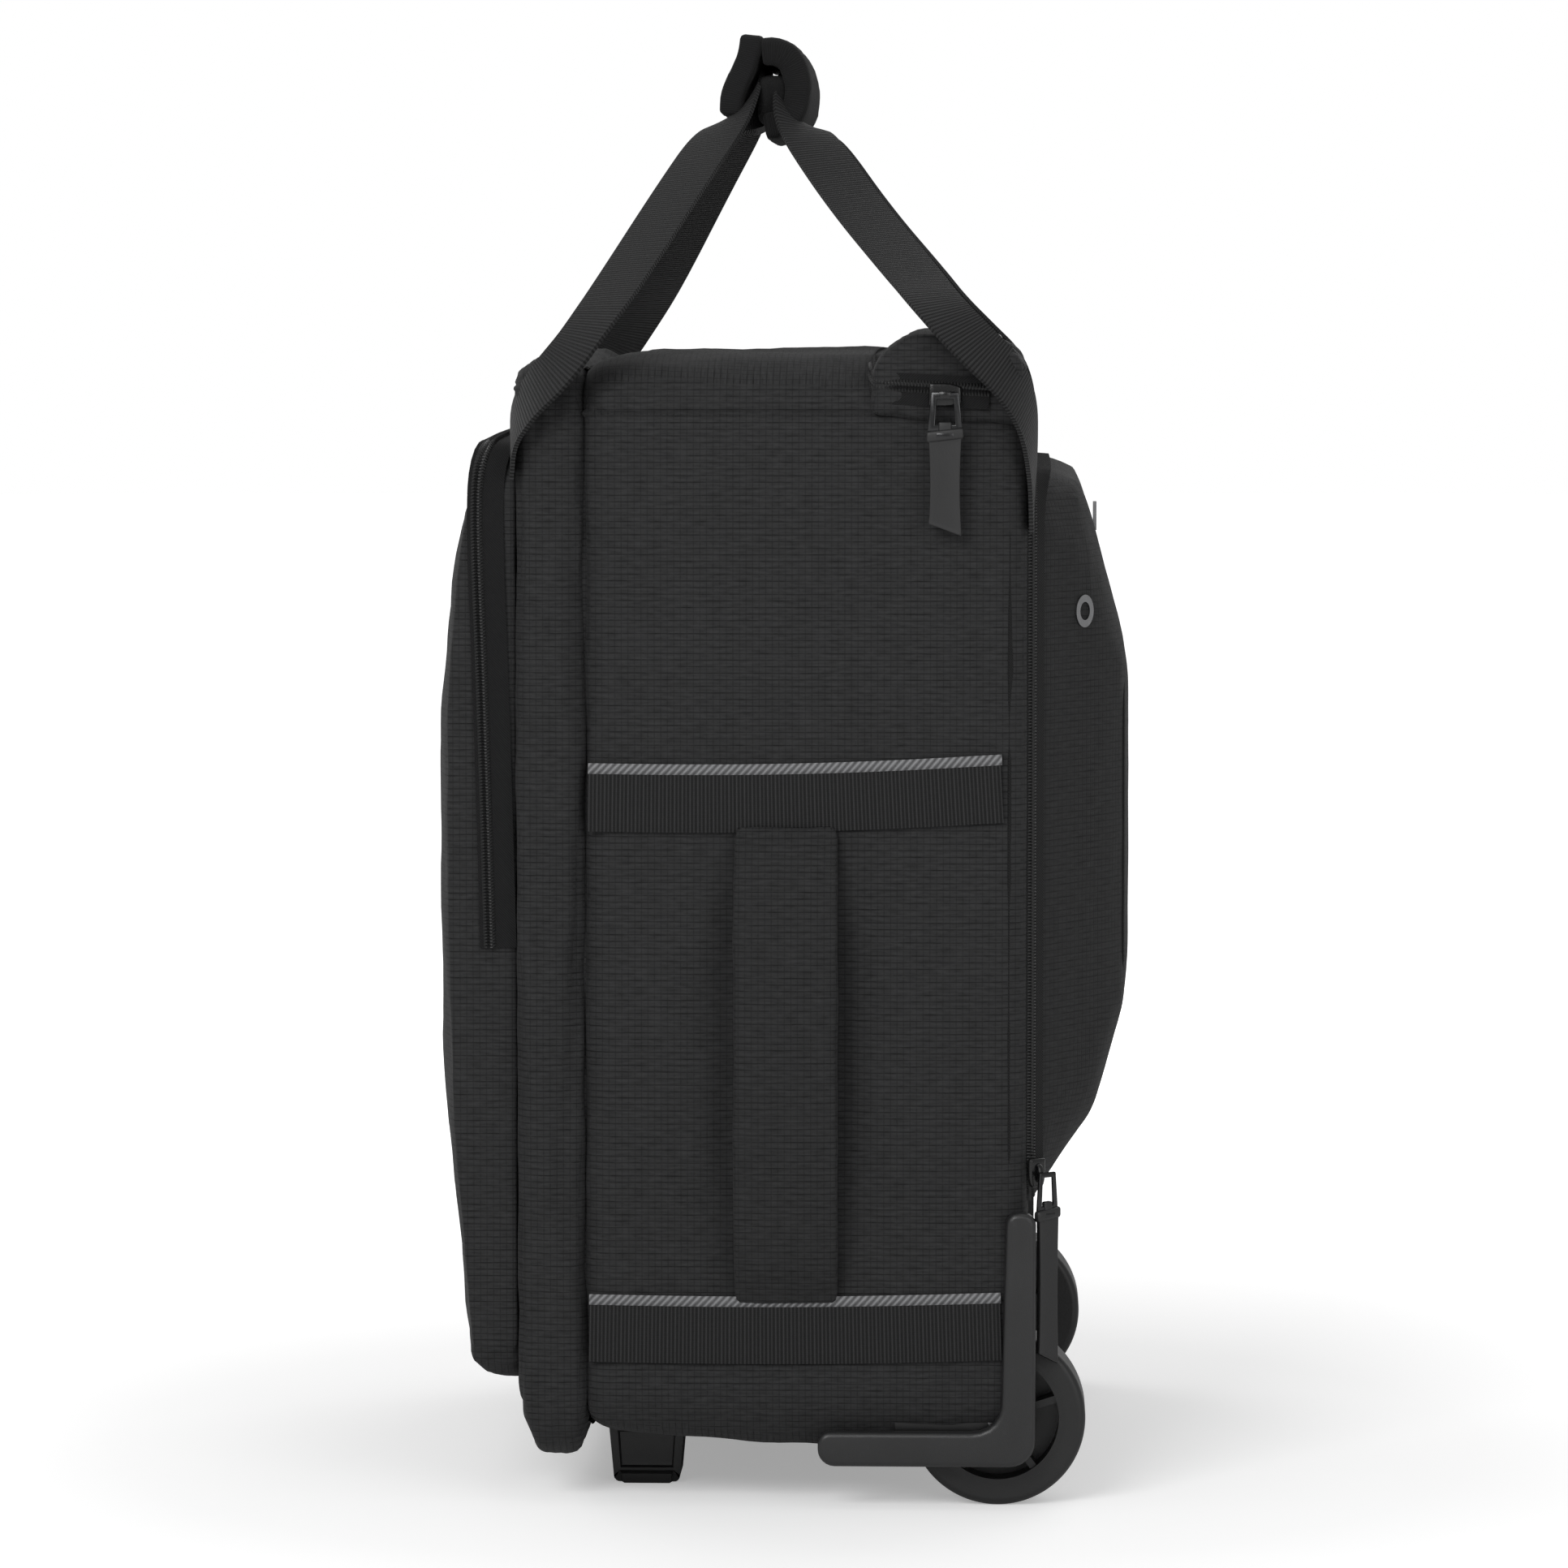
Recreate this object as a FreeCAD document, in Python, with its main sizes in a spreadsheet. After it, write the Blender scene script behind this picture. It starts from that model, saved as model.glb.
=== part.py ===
"""Rolling soft bag on two wheels: shell panels, lid, pockets, handles, trolley, wheels and feet.

Frame: +Z up, -Y is the bag's front, +Y its back with the wheels, X across it.
The origin lies on the floor, under the middle of the bag.  Millimetres throughout.
"""
import FreeCAD, Part
import os
import re

import Sketcher

doc = FreeCAD.newDocument("rolling_bag")
sizes = doc.addObject("Spreadsheet::Sheet", "sizes")

SIZES = (
    # the bag itself
    ("bag_width", 340),         # across the two side panels
    ("main_depth", 182),        # main compartment, lid seam to back panel
    ("lid_depth", 29),          # front section that opens like a book
    ("pocket_depth", 31.5),     # front pocket
    ("rear_depth", 42.5),       # rear pocket
    ("base_height", 26),        # underside of the bag above the floor
    ("shell_height", 448),      # underside to top panel
    ("wall", 4),                # padded cloth wall
    ("edge_radius", 21),        # round along the top and bottom side edges
    ("back_radius", 8.5),       # round all round the back panel
    ("seam_gap", 0.3),          # slack between two sections at a zip
    ("zip_thick", 0.8),
    ("zip_width", 5),
    # front pocket
    ("pocket_width", 324),
    ("pocket_foot", 50),
    ("pocket_top", 442),
    ("pocket_round", 22),
    ("pocket_zip_foot", 232),
    ("patch_width", 40),
    ("patch_foot", 93),
    ("patch_height", 30),
    ("patch_thick", 1.5),
    # rear pocket, a cap with sloping sides
    ("flap_width", 316),
    ("flap_face_width", 190),
    ("flap_foot", 127),
    ("flap_top", 429),
    ("flap_chin", 147),         # where the lower slope steepens
    ("flap_face_foot", 201),
    ("flap_face_top", 346),
    ("flap_brow", 402),         # where the upper slope begins
    ("flap_wall", 3),
    ("flap_rim", 2),            # straight rim before the sides slope in
    ("eyelet_radius", 6.8),
    ("eyelet_bore", 3.8),
    ("eyelet_thick", 1.2),
    ("eyelet_height", 370),
    # webbing bands and side handles
    ("band_thick", 1.5),
    ("band_width", 24),
    ("edging_width", 4),
    ("edging_thick", 2),
    ("upper_band_foot", 281),
    ("lower_band_foot", 61),
    ("band_setback", 5),        # from the lid seam, clear of the zip slider
    ("side_handle_width", 42),
    ("side_handle_middle", 1),
    ("side_handle_thick", 6),
    ("side_handle_gap", 10),
    ("side_handle_ramp", 16),
    ("webbing_width", 25),
    ("webbing_thick", 2),
    # padded grip of the two carry handles
    ("grip_half", 64),
    ("wrap_radius", 18),
    ("wrap_bore", 7),
    ("wrap_height", 590),
    ("wrap_place", -9),
    ("leaf_thick", 11),
    ("leaf_height", 38),
    ("leaf_tilt", 20),
    ("leaf_gap", 0.6),
    # padded cover over the stowed trolley grip
    ("cover_overhang", 5),
    ("cover_foot", 452),
    ("cover_rise", 12),
    ("cover_depth", 62),
    ("cover_setback", 2),
    ("cover_round", 10),
    # trolley
    ("tube_spacing", 120),
    ("tube_setback", 17),       # tube centre line in front of the back face
    ("outer_tube_width", 22),
    ("outer_tube_depth", 12),
    ("tube_wall", 1),
    ("tube_clearance", 0.3),
    ("tube_round", 3),
    ("tube_foot_height", 4),
    ("outer_tube_top", 456),
    ("grip_width", 156),
    ("grip_front", 12),         # grip in front of the tube centre line
    ("grip_back", 6),
    ("grip_height", 24),
    ("grip_floor", 3),
    ("grip_clearance", 1),
    ("tray_wall", 1.5),
    ("button_width", 32),
    ("button_depth", 10),
    ("button_height", 14.5),
    ("button_clearance", 0.3),
    ("rod_radius", 1.8),
    ("rod_bar", 4),
    ("channel_height", 9),
    # wheels and their housings
    ("wheel_radius", 36.5),
    ("wheel_width", 29),
    ("wheel_setback", 11.8),    # axle in front of the back face
    ("tyre_depth", 8),
    ("rim_depth", 3),
    ("hub_radius", 13.5),
    ("bearing_radius", 11),
    ("bearing_width", 7),
    ("axle_radius", 4),
    ("axle_clearance", 0.05),
    ("spoke_thick", 3),
    ("housing_wall", 3),
    ("housing_gap", 3),
    ("cheek_gap", 2),
    # corner guards and feet
    ("guard_thick", 4),
    ("guard_top", 124),
    ("guard_foot", 18),
    ("guard_bar", 15),
    ("guard_arm", 12),
    ("guard_spread", 4),        # how much wider the arm is at its root
    ("guard_reach", 86),        # from the back face to the front tip
    ("guard_proud", 4),
    ("guard_inner_round", 14),
    ("guard_outer_round", 8),
    ("foot_inset", 55),         # outer face of the foot to the side panel
    ("foot_width", 30),
    ("foot_length", 32),
    ("foot_taper", 4),
    ("foot_place", 6),          # from the lid seam to the foot
    ("foot_recess", 3),
    ("screw_radius", 2),
    ("screw_length", 20),
    ("screw_spacing", 16),
    ("screw_clearance", 0.1),
    ("screw_head", 3.5),
    ("head_height", 1.6),
    ("board_thick", 2),
    # zip sliders and pulls
    ("slider_thick", 4),
    ("slider_length", 13),
    ("slider_width", 8),
    ("pull_thick", 3),
    ("pull_gap", 0.3),
)
ALIASES = {name for name, value in SIZES}
for row, (name, value) in enumerate(SIZES, 1):
    sizes.set(f"A{row}", name)
    sizes.set(f"B{row}", str(value))
    sizes.setAlias(f"B{row}", name)
doc.recompute()

NODES = {}


def bind(text):
    """Write an expression on the sheet's aliases the way the document reads it."""
    return re.sub(r"[a-z_]+", lambda word: f"sizes.{word[0]}" if word[0] in ALIASES else word[0], str(text))


def num(text):
    """The value of such an expression now."""
    return float(sizes.evalExpression(bind(text)))


# Planes that several pieces share, front to back and bottom to top.
HALF = "(bag_width / 2)"
FRONT = "(-(pocket_depth + lid_depth + main_depth + rear_depth) / 2)"
LID = f"({FRONT} + pocket_depth)"
SEAM = f"({LID} + lid_depth)"
BACK = f"({SEAM} + main_depth)"
REAR = f"({BACK} + rear_depth)"
BASE = "base_height"
TOP = "(base_height + shell_height)"


# ---------------------------------------------------------------- making helpers
def piece(name, thing):
    """Keep a finished sub-part under the name that it is exported with."""
    thing.Label = name
    NODES[name] = thing
    return thing


def box(name, across, depth, height):
    """A block between pairs of expressions along X, Y and Z."""
    block = doc.addObject("Part::Box", name)
    spans = (("Length", "x", across), ("Width", "y", depth), ("Height", "z", height))
    for size, axis, (low, high) in spans:
        block.setExpression(size, bind(f"({high}) - ({low})"))
        block.setExpression(f"Placement.Base.{axis}", bind(low))
    return block


TURNS = {
    "x": FreeCAD.Rotation(FreeCAD.Vector(0, 1, 0), 90),
    "y": FreeCAD.Rotation(FreeCAD.Vector(1, 0, 0), -90),
    "z": FreeCAD.Rotation(),
}


def rod(name, axis, start, radius, length):
    """A cylinder from a start point along one axis."""
    cylinder = doc.addObject("Part::Cylinder", name)
    cylinder.Placement = FreeCAD.Placement(FreeCAD.Vector(), TURNS[axis])
    cylinder.setExpression("Radius", bind(radius))
    cylinder.setExpression("Height", bind(length))
    for letter, place in zip("xyz", start):
        cylinder.setExpression(f"Placement.Base.{letter}", bind(place))
    return cylinder


def fuse(name, *things):
    joined = doc.addObject("Part::MultiFuse", name)
    joined.Shapes = list(things)
    return joined


def cut(name, base, *tools):
    result = doc.addObject("Part::Cut", name)
    result.Base = base
    result.Tool = tools[0] if len(tools) == 1 else fuse(f"{name}_tools", *tools)
    return result


def common(name, base, tool):
    result = doc.addObject("Part::Common", name)
    result.Base = base
    result.Tool = tool
    return result


def group(name, *things):
    """Separate solids that share one node."""
    result = doc.addObject("Part::Compound", name)
    result.Links = list(things)
    return result


def mirrored(name, source):
    """The same piece on the other side of the bag."""
    result = doc.addObject("Part::Mirroring", name)
    result.Source = source
    result.Normal = FreeCAD.Vector(1, 0, 0)
    return result


def both(name, source):
    return group(name, source, mirrored(f"{name}_other", source))


def rounded(name, base, radius, wanted):
    """Fillet the edges that the test picks."""
    doc.recompute()
    result = doc.addObject("Part::Fillet", name)
    result.Base = base
    size = num(radius)
    result.Edges = [(i, size, size) for i, edge in enumerate(base.Shape.Edges, 1) if wanted(edge)]
    return result


def along(axis):
    """Edges that run along an axis."""
    direction = FreeCAD.Vector(*axis)
    return lambda edge: abs(edge.tangentAt(edge.FirstParameter).dot(direction)) > 0.999


def touching(axis, place):
    """Edges that lie in the plane at a place along an axis."""
    def test(edge):
        return all(abs(vertex.Point["xyz".index(axis)] - num(place)) < 0.01 for vertex in edge.Vertexes)
    return test


PLANES = {"x": ("YZ_Plane", 1), "y": ("XZ_Plane", -1), "z": ("XY_Plane", 1)}


def profile(name, axis, low, high, points):
    """A sketched outline of bound points, padded along an axis between two places."""
    body = doc.addObject("PartDesign::Body", name)
    role, sign = PLANES[axis]
    sketch = body.newObject("Sketcher::SketchObject", f"{name}_outline")
    plane = [item for item in body.Origin.OriginFeatures if item.Role == role][0]
    sketch.AttachmentSupport = [(plane, "")]
    sketch.MapMode = "FlatFace"
    start = low if sign > 0 else f"-({high})"
    sketch.setExpression("AttachmentOffset.Base.z", bind(start))
    corners = [FreeCAD.Vector(num(u), num(v), 0) for u, v in points]
    for i, corner in enumerate(corners):
        sketch.addGeometry(Part.LineSegment(corner, corners[(i + 1) % len(corners)]))
    for i, (u, v) in enumerate(points):
        sketch.addConstraint(Sketcher.Constraint("Coincident", i, 2, (i + 1) % len(points), 1))
        for kind, place in (("DistanceX", u), ("DistanceY", v)):
            index = sketch.addConstraint(Sketcher.Constraint(kind, -1, 1, i, 1, num(place)))
            sketch.setExpression(f"Constraints[{index}]", bind(place))
    pad = body.newObject("PartDesign::Pad", f"{name}_pad")
    pad.Profile = sketch
    pad.setExpression("Length", bind(f"({high}) - ({low})"))
    return body


def soften(body, radius, wanted):
    """Add a bound fillet to a padded body."""
    doc.recompute()
    feature = body.newObject("PartDesign::Fillet", f"{body.Name}_round")
    edges = body.Shape.Edges
    feature.Base = (body.Group[-2], [f"Edge{i}" for i, edge in enumerate(edges, 1) if wanted(edge)])
    feature.setExpression("Radius", bind(radius))
    return body


def near(axis, point, reach=0.5):
    """Edges along an axis that pass near a point of the outline across it."""
    runs = along([float(letter == axis) for letter in "xyz"])
    others = [i for i, letter in enumerate("xyz") if letter != axis]

    def test(edge):
        start = edge.Vertexes[0].Point
        return runs(edge) and all(abs(start[i] - num(place)) < reach for i, place in zip(others, point))
    return test


# ---------------------------------------------------------------- main compartment
SPLIT = f"({BACK} - back_radius)"
WHEEL_Y = f"({BACK} - wheel_setback)"
WHEEL_Z = "wheel_radius"
CHEEK_OUT = f"({HALF} - wall)"
CHEEK_IN = f"({CHEEK_OUT} - 2 * housing_wall - 2 * cheek_gap - wheel_width)"
DRUM = "(wheel_radius + housing_gap + housing_wall)"
TUBE_X = "(tube_spacing / 2)"
TUBE_Y = f"({BACK} - tube_setback)"
GRIP_Y = (f"{TUBE_Y} - grip_front", f"{TUBE_Y} + grip_back")
TRAY_X = "(grip_width / 2 + grip_clearance + tray_wall)"
TRAY_Y = (f"{GRIP_Y[0]} - grip_clearance - tray_wall", f"{GRIP_Y[1]} + grip_clearance + tray_wall")
SCREW_X = f"({HALF} - foot_inset - foot_width / 2)"
FOOT_Y = (f"{SEAM} + foot_place", f"{SEAM} + foot_place + foot_length")
FOOT_MID = f"({SEAM} + foot_place + foot_length / 2)"


def screw_bores(name, clearance):
    """Shafts of the four foot screws, grown by a clearance for their holes."""
    shafts = []
    for end, sign in (("front", "-"), ("back", "+")):
        start = (SCREW_X, f"{FOOT_MID} {sign} screw_spacing / 2",
                 f"{BASE} + wall + board_thick - screw_length")
        shafts.append(rod(f"{name}_{end}", "z", start, f"screw_radius + {clearance}", "screw_length"))
    one_side = group(f"{name}_side", *shafts)
    return both(name, one_side)


def shell_block(name, inset):
    """The outside of the main compartment, shrunk by an inset for its inside."""
    start = SEAM if inset == "0" else f"{SEAM} - 1"
    block = box(f"{name}_block", (f"-{HALF} + {inset}", f"{HALF} - {inset}"),
                (start, f"{BACK} - {inset}"), (f"{BASE} + {inset}", f"{TOP} - {inset}"))
    sides = rounded(f"{name}_edges", block, f"edge_radius - {inset}", along((0, 1, 0)))
    return rounded(name, sides, f"back_radius - {inset}", touching("y", f"{BACK} - {inset}"))


def well(name):
    """The room that a wheel housing takes out of the shell panels."""
    start = (f"{CHEEK_IN} - seam_gap", WHEEL_Y, WHEEL_Z)
    drum = rod(f"{name}_drum", "x", start, f"{DRUM} + seam_gap", f"{CHEEK_OUT} - {CHEEK_IN} + seam_gap")
    return both(name, drum)


outside = shell_block("main_outside", "0")
shell = cut("main_shell", outside, shell_block("main_inside", "wall"))
wells = well("wheel_wells")
WIDE = (f"-{HALF} - 1", f"{HALF} + 1")

piece("side_panel_right", box("side_panel_right", (f"{HALF} - wall", HALF), (SEAM, SPLIT),
                              (f"{BASE} + edge_radius", f"{TOP} - edge_radius")))
piece("side_panel_left", mirrored("side_panel_left", NODES["side_panel_right"]))

top_zone = box("top_zone", WIDE, (SEAM, SPLIT), (f"{TOP} - edge_radius", f"{TOP} + 1"))
tray_hole = box("tray_hole", (f"-{TRAY_X}", TRAY_X), TRAY_Y, (f"{TOP} - edge_radius", f"{TOP} + 1"))
piece("top_panel", cut("top_panel", common("top_arch", shell, top_zone), tray_hole))

base_zone = box("base_zone", WIDE, (SEAM, SPLIT), (f"{BASE} - 1", f"{BASE} + edge_radius"))
holes = screw_bores("screw_holes", "screw_clearance")
piece("base_panel", cut("base_panel", common("base_trough", shell, base_zone), wells, holes))

back_zone = box("back_zone", WIDE, (SPLIT, f"{BACK} + 1"), (f"{BASE} - 1", f"{TOP} + 1"))
piece("back_panel", cut("back_panel", common("back_tray", shell, back_zone), wells))

piece("base_board", cut("base_board", box(
    "base_sheet", (f"-{CHEEK_IN} + wall", f"{CHEEK_IN} - wall"),
    (f"{SEAM} + 2 * wall", f"{TUBE_Y} - outer_tube_depth - wall"),
    (f"{BASE} + wall", f"{BASE} + wall + board_thick")), holes))

piece("padded_backboard", box(
    "padded_backboard", (f"-{CHEEK_IN} + wall", f"{CHEEK_IN} - wall"),
    (f"{TUBE_Y} + outer_tube_depth / 2", f"{BACK} - wall"),
    (f"{BASE} + wall + back_radius", f"outer_tube_top - back_radius")))


# ---------------------------------------------------------------- front section
lid_block = box("lid_block", (f"-{HALF}", HALF), (LID, f"{SEAM} - seam_gap"), (BASE, TOP))
lid_outside = rounded("lid_outside", lid_block, "edge_radius", along((0, 1, 0)))
lid_room = box("lid_room", (f"-{HALF} + wall", f"{HALF} - wall"), (f"{LID} + wall", f"{SEAM} + 1"),
               (f"{BASE} + wall", f"{TOP} - wall"))
lid_inside = rounded("lid_inside", lid_room, "edge_radius - wall", along((0, 1, 0)))
lid_shell = cut("lid_shell", lid_outside, lid_inside)
HIGH = (f"{BASE} - 1", f"{TOP} + 1")
piece("lid_front_panel", common("lid_front_panel", lid_shell,
                                box("lid_face_zone", WIDE, (f"{LID} - 1", f"{LID} + wall"), HIGH)))
piece("lid_gusset", common("lid_gusset", lid_shell,
                           box("lid_side_zone", WIDE, (f"{LID} + wall", f"{SEAM} + 1"), HIGH)))

POCKET_X = "(pocket_width / 2)"
POCKET_FACE = f"({FRONT} + patch_thick)"
pocket_block = box("pocket_block", (f"-{POCKET_X}", POCKET_X), (POCKET_FACE, LID),
                   ("pocket_foot", "pocket_top"))
piece("front_pocket", rounded("front_pocket", pocket_block, "pocket_round", touching("y", POCKET_FACE)))

ZIP_Y = (f"{LID} - 2 - zip_width", f"{LID} - 2")
zip_side = box("pocket_zip_side", (POCKET_X, f"{POCKET_X} + zip_thick"), ZIP_Y,
               ("pocket_zip_foot", "pocket_top + zip_thick"))
zip_top = box("pocket_zip_top", (f"-{POCKET_X} - zip_thick", f"{POCKET_X} + zip_thick"), ZIP_Y,
              ("pocket_top", "pocket_top + zip_thick"))
piece("pocket_zip", fuse("pocket_zip", zip_side, mirrored("pocket_zip_far", zip_side), zip_top))
piece("pocket_patch", box("pocket_patch", ("-patch_width / 2", "patch_width / 2"), (FRONT, POCKET_FACE),
                          ("patch_foot", "patch_foot + patch_height")))


# ---------------------------------------------------------------- rear pocket
FLAP_Y = f"({BACK} + zip_thick + seam_gap)"


def flap_block(name, inset):
    """The rear pocket's cap, shrunk by an inset for the room inside it."""
    mouth = FLAP_Y if inset == "0" else f"{FLAP_Y} - 1"
    face = f"{REAR} - {inset}"
    side = profile(f"{name}_side", "x", f"-{HALF}", HALF, (
        (mouth, f"flap_foot + {inset}"), (f"{BACK} + rear_depth * 0.28", f"flap_foot + {inset}"),
        (f"{BACK} + rear_depth * 0.6 - {inset} / 2", f"flap_chin + {inset}"), (face, f"flap_face_foot"),
        (face, "flap_face_top"), (f"{BACK} + rear_depth * 0.64 - {inset} / 2", f"flap_brow - {inset} / 2"),
        (f"{BACK} + rear_depth * 0.45", f"flap_top - {inset}"), (mouth, f"flap_top - {inset}")))
    wide = f"flap_width / 2 - {inset}"
    narrow = f"flap_face_width / 2 - {inset} / 2"
    plan = profile(f"{name}_plan", "z", "flap_foot - 5", "flap_top + 5", (
        (f"-({wide})", mouth), (wide, mouth), (wide, f"{FLAP_Y} + flap_rim"), (narrow, face),
        (f"-({narrow})", face), (f"-({wide})", f"{FLAP_Y} + flap_rim")))
    return common(name, side, plan)


def on_flap_side(name, axis_start, axis_end, *radii):
    """Round tools whose axis is square to the cap's sloping side."""
    run = num(f"{REAR} - {FLAP_Y} - flap_rim")
    drop = num("(flap_width - flap_face_width) / 2")
    normal = FreeCAD.Vector(run, drop, 0).normalize()
    middle = FreeCAD.Vector(num("flap_width / 2") - drop / 2, num(f"{FLAP_Y} + flap_rim") + run / 2,
                            num("eyelet_height"))
    solids = []
    for radius in radii:
        solids.append(Part.makeCylinder(num(radius), num(axis_end) - num(axis_start),
                                        middle + normal * num(axis_start), normal))
    result = doc.addObject("Part::Feature", name)
    result.Shape = solids[0] if len(solids) == 1 else solids[0].cut(solids[1])
    return result


flap_shell = cut("flap_shell", flap_block("flap_outside", "0"), flap_block("flap_inside", "flap_wall"))
vents = both("flap_vents", on_flap_side("flap_vent", "-2 * flap_wall", "2 * flap_wall", "eyelet_bore + 1"))
piece("rear_flap", cut("rear_flap", flap_shell, vents))
piece("eyelets", both("eyelets", on_flap_side("eyelet", "0", "eyelet_thick", "eyelet_radius", "eyelet_bore")))

PULLER_X = ("flap_face_width / 2 - 25", "flap_face_width / 2 - 15")
piece("panel_puller", box("panel_puller", PULLER_X,
                          (f"{BACK} + rear_depth * 0.64 + pull_gap", f"{BACK} + rear_depth * 0.64 + 1.8"),
                          ("flap_brow", "flap_brow + 12")))


# ---------------------------------------------------------------- zips on the main shell
cover_zip = both("cover_zip", box(
    "cover_zip_near", (f"{HALF} + cover_overhang", f"{HALF} + cover_overhang + zip_thick"),
    (f"{SPLIT} - cover_depth + 14", f"{SPLIT} - 4"), ("cover_foot + 6", "cover_foot + 6 + zip_width")))
rear_ring = cut("rear_zip", box("rear_zip_block", ("-flap_width / 2", "flap_width / 2"),
                                (BACK, f"{BACK} + zip_thick"), ("flap_foot", "flap_top")),
                box("rear_zip_room", ("-flap_width / 2 + 2 * zip_width", "flap_width / 2 - 2 * zip_width"),
                    (f"{BACK} - 1", f"{BACK} + 2"),
                    ("flap_foot + 2 * zip_width", "flap_top - 2 * zip_width")))
seam_zip = box("seam_zip", (f"-{HALF} - zip_thick", f"-{HALF}"), (SEAM, f"{SEAM} + zip_width - 1"),
               (f"{BASE} + edge_radius", f"{TOP} - edge_radius"))
piece("zip_tapes", group("zip_tapes", cover_zip, rear_ring, seam_zip))


# ---------------------------------------------------------------- bands and side handles
BAND_Y = (f"{SEAM} + band_setback", f"{BACK} + guard_proud - guard_arm - guard_spread")
BAND_X = (HALF, f"{HALF} + band_thick")


def band(name, foot):
    return box(name, BAND_X, BAND_Y, (foot, f"{foot} + band_width"))


def edging(name, foot):
    start = f"{foot} + band_width"
    return box(name, (HALF, f"{HALF} + edging_thick"), BAND_Y, (start, f"{start} + edging_width"))


right_bands = group("side_bands_right", band("upper_band", "upper_band_foot"),
                    band("lower_band", "lower_band_foot"))
piece("side_bands_right", right_bands)
piece("side_bands_left", mirrored("side_bands_left", right_bands))
near_edging = group("edging_right", edging("upper_edging", "upper_band_foot"),
                    edging("lower_edging", "lower_band_foot"))
piece("band_edging", both("band_edging", near_edging))

LOOP_FOOT = "(lower_band_foot + band_width + edging_width)"
LOOP_TOP = "upper_band_foot"
LOOP_OUT = f"({HALF} + side_handle_gap + side_handle_thick)"
loop = profile("side_handle_right", "y", "side_handle_middle - side_handle_width / 2",
               "side_handle_middle + side_handle_width / 2", (
                   (HALF, LOOP_FOOT), (f"{HALF} + side_handle_thick / 2", LOOP_FOOT),
                   (LOOP_OUT, f"{LOOP_FOOT} + side_handle_ramp"),
                   (LOOP_OUT, f"{LOOP_TOP} - side_handle_ramp"),
                   (f"{HALF} + side_handle_thick / 2", LOOP_TOP), (HALF, LOOP_TOP),
                   (HALF, f"{LOOP_TOP} - side_handle_thick"),
                   (f"{HALF} + side_handle_gap", f"{LOOP_TOP} - side_handle_ramp - 3"),
                   (f"{HALF} + side_handle_gap", f"{LOOP_FOOT} + side_handle_ramp + 3"),
                   (HALF, f"{LOOP_FOOT} + side_handle_thick")))
piece("side_handle_right", loop)
piece("side_handle_left", mirrored("side_handle_left", loop))


# ---------------------------------------------------------------- cover over the trolley grip
COVER_X = f"({HALF} + cover_overhang)"
COVER_Y = (f"{BACK} - cover_setback - cover_depth", f"{BACK} - cover_setback")
cover_block = box("cover_block", (f"-{COVER_X}", COVER_X), COVER_Y, ("cover_foot", f"{TOP} + cover_rise"))
cover_sides = rounded("cover_sides", cover_block, "edge_radius", lambda edge: along((0, 1, 0))(edge)
                      and edge.Vertexes[0].Point.z > num(TOP))
cover_body = rounded("cover_body", cover_sides, "cover_round",
                     lambda edge: edge.Vertexes[0].Point.z > num(TOP)
                     and abs(edge.Vertexes[0].Point.y - edge.Vertexes[1].Point.y) < 0.01
                     and along((1, 0, 0))(edge))
recess = box("cover_recess", (f"-{TRAY_X} - grip_clearance", f"{TRAY_X} + grip_clearance"),
             (TRAY_Y[0], f"{BACK} + 1"), (f"{TOP} - edge_radius", f"{TOP} + 2 * cover_rise"))
piece("garage_cover", cut("garage_cover", cover_body, outside, recess))


# ---------------------------------------------------------------- carry handles
FRONT_ROUTE = {  # across, depth, height and twist of the webbing, hem to grip
    "right": ((160, -112.4, 447, 0), (168, -114, 462, 8), (174, -103, 480, 60), (166, -82, 492, 90),
              (150, -71, 507, 90), (103, -45, 548, 90), (64.4, -28, 576, 90)),
    "left": ((-160, -112.4, 447, 0), (-168, -114.5, 462, -8), (-174, -109, 480, -60), (-166, -98, 494, -90),
             (-140, -80, 521, -90), (-103, -56, 550, -90), (-64.4, -29, 577, -90)),
}
REAR_ROUTE = {
    "right": ((158, 101.6, 434, 0), (166, 103, 450, -15), (177, 96, 466, -60), (178.5, 80, 480, -90),
              (177, 66, 494, -90), (150, 52, 510, -90), (105, 28, 539, -90), (64.4, 0, 574, -90)),
    "left": ((-158, 101.6, 434, 0), (-166, 104, 450, 15), (-177, 101, 466, 60), (-178.5, 86, 481, 90),
             (-177, 68, 496, 90), (-150, 53, 511, 90), (-105, 28, 539, 90), (-64.4, 0, 574, 90)),
}


def webbing(name, route):
    """A flat strap through the route's points, twisted about its own line, cut square at the grip."""
    spots = [FreeCAD.Vector(*point[:3]) for point in route]
    loops = []
    for i, (spot, point) in enumerate(zip(spots, route)):
        ahead = (spots[min(i + 1, len(spots) - 1)] - spots[max(i - 1, 0)]).normalize()
        if i == 0:
            ahead = FreeCAD.Vector(0, 0, 1)
        if i < len(spots) - 1:
            flat = FreeCAD.Vector(1, 0, 0) - ahead * ahead.x
            side = FreeCAD.Rotation(ahead, point[3]).multVec(flat.normalize())
        else:
            ahead = FreeCAD.Vector(-1 if spot.x > 0 else 1, 0, 0)
        wide = side * (num("webbing_width") / 2)
        thick = ahead.cross(side) * (num("webbing_thick") / 2)
        corners = [spot + wide + thick, spot - wide + thick, spot - wide - thick, spot + wide - thick]
        loops.append(Part.makePolygon(corners + corners[:1]))
    strap = doc.addObject("Part::Feature", name)
    strap.Shape = Part.makeLoft(loops, True, True)
    return strap


piece("front_webbing", group("front_webbing", *[webbing(f"front_strap_{side}", route)
                                                for side, route in FRONT_ROUTE.items()]))
piece("rear_webbing", group("rear_webbing", *[webbing(f"rear_strap_{side}", route)
                                              for side, route in REAR_ROUTE.items()]))

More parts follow.
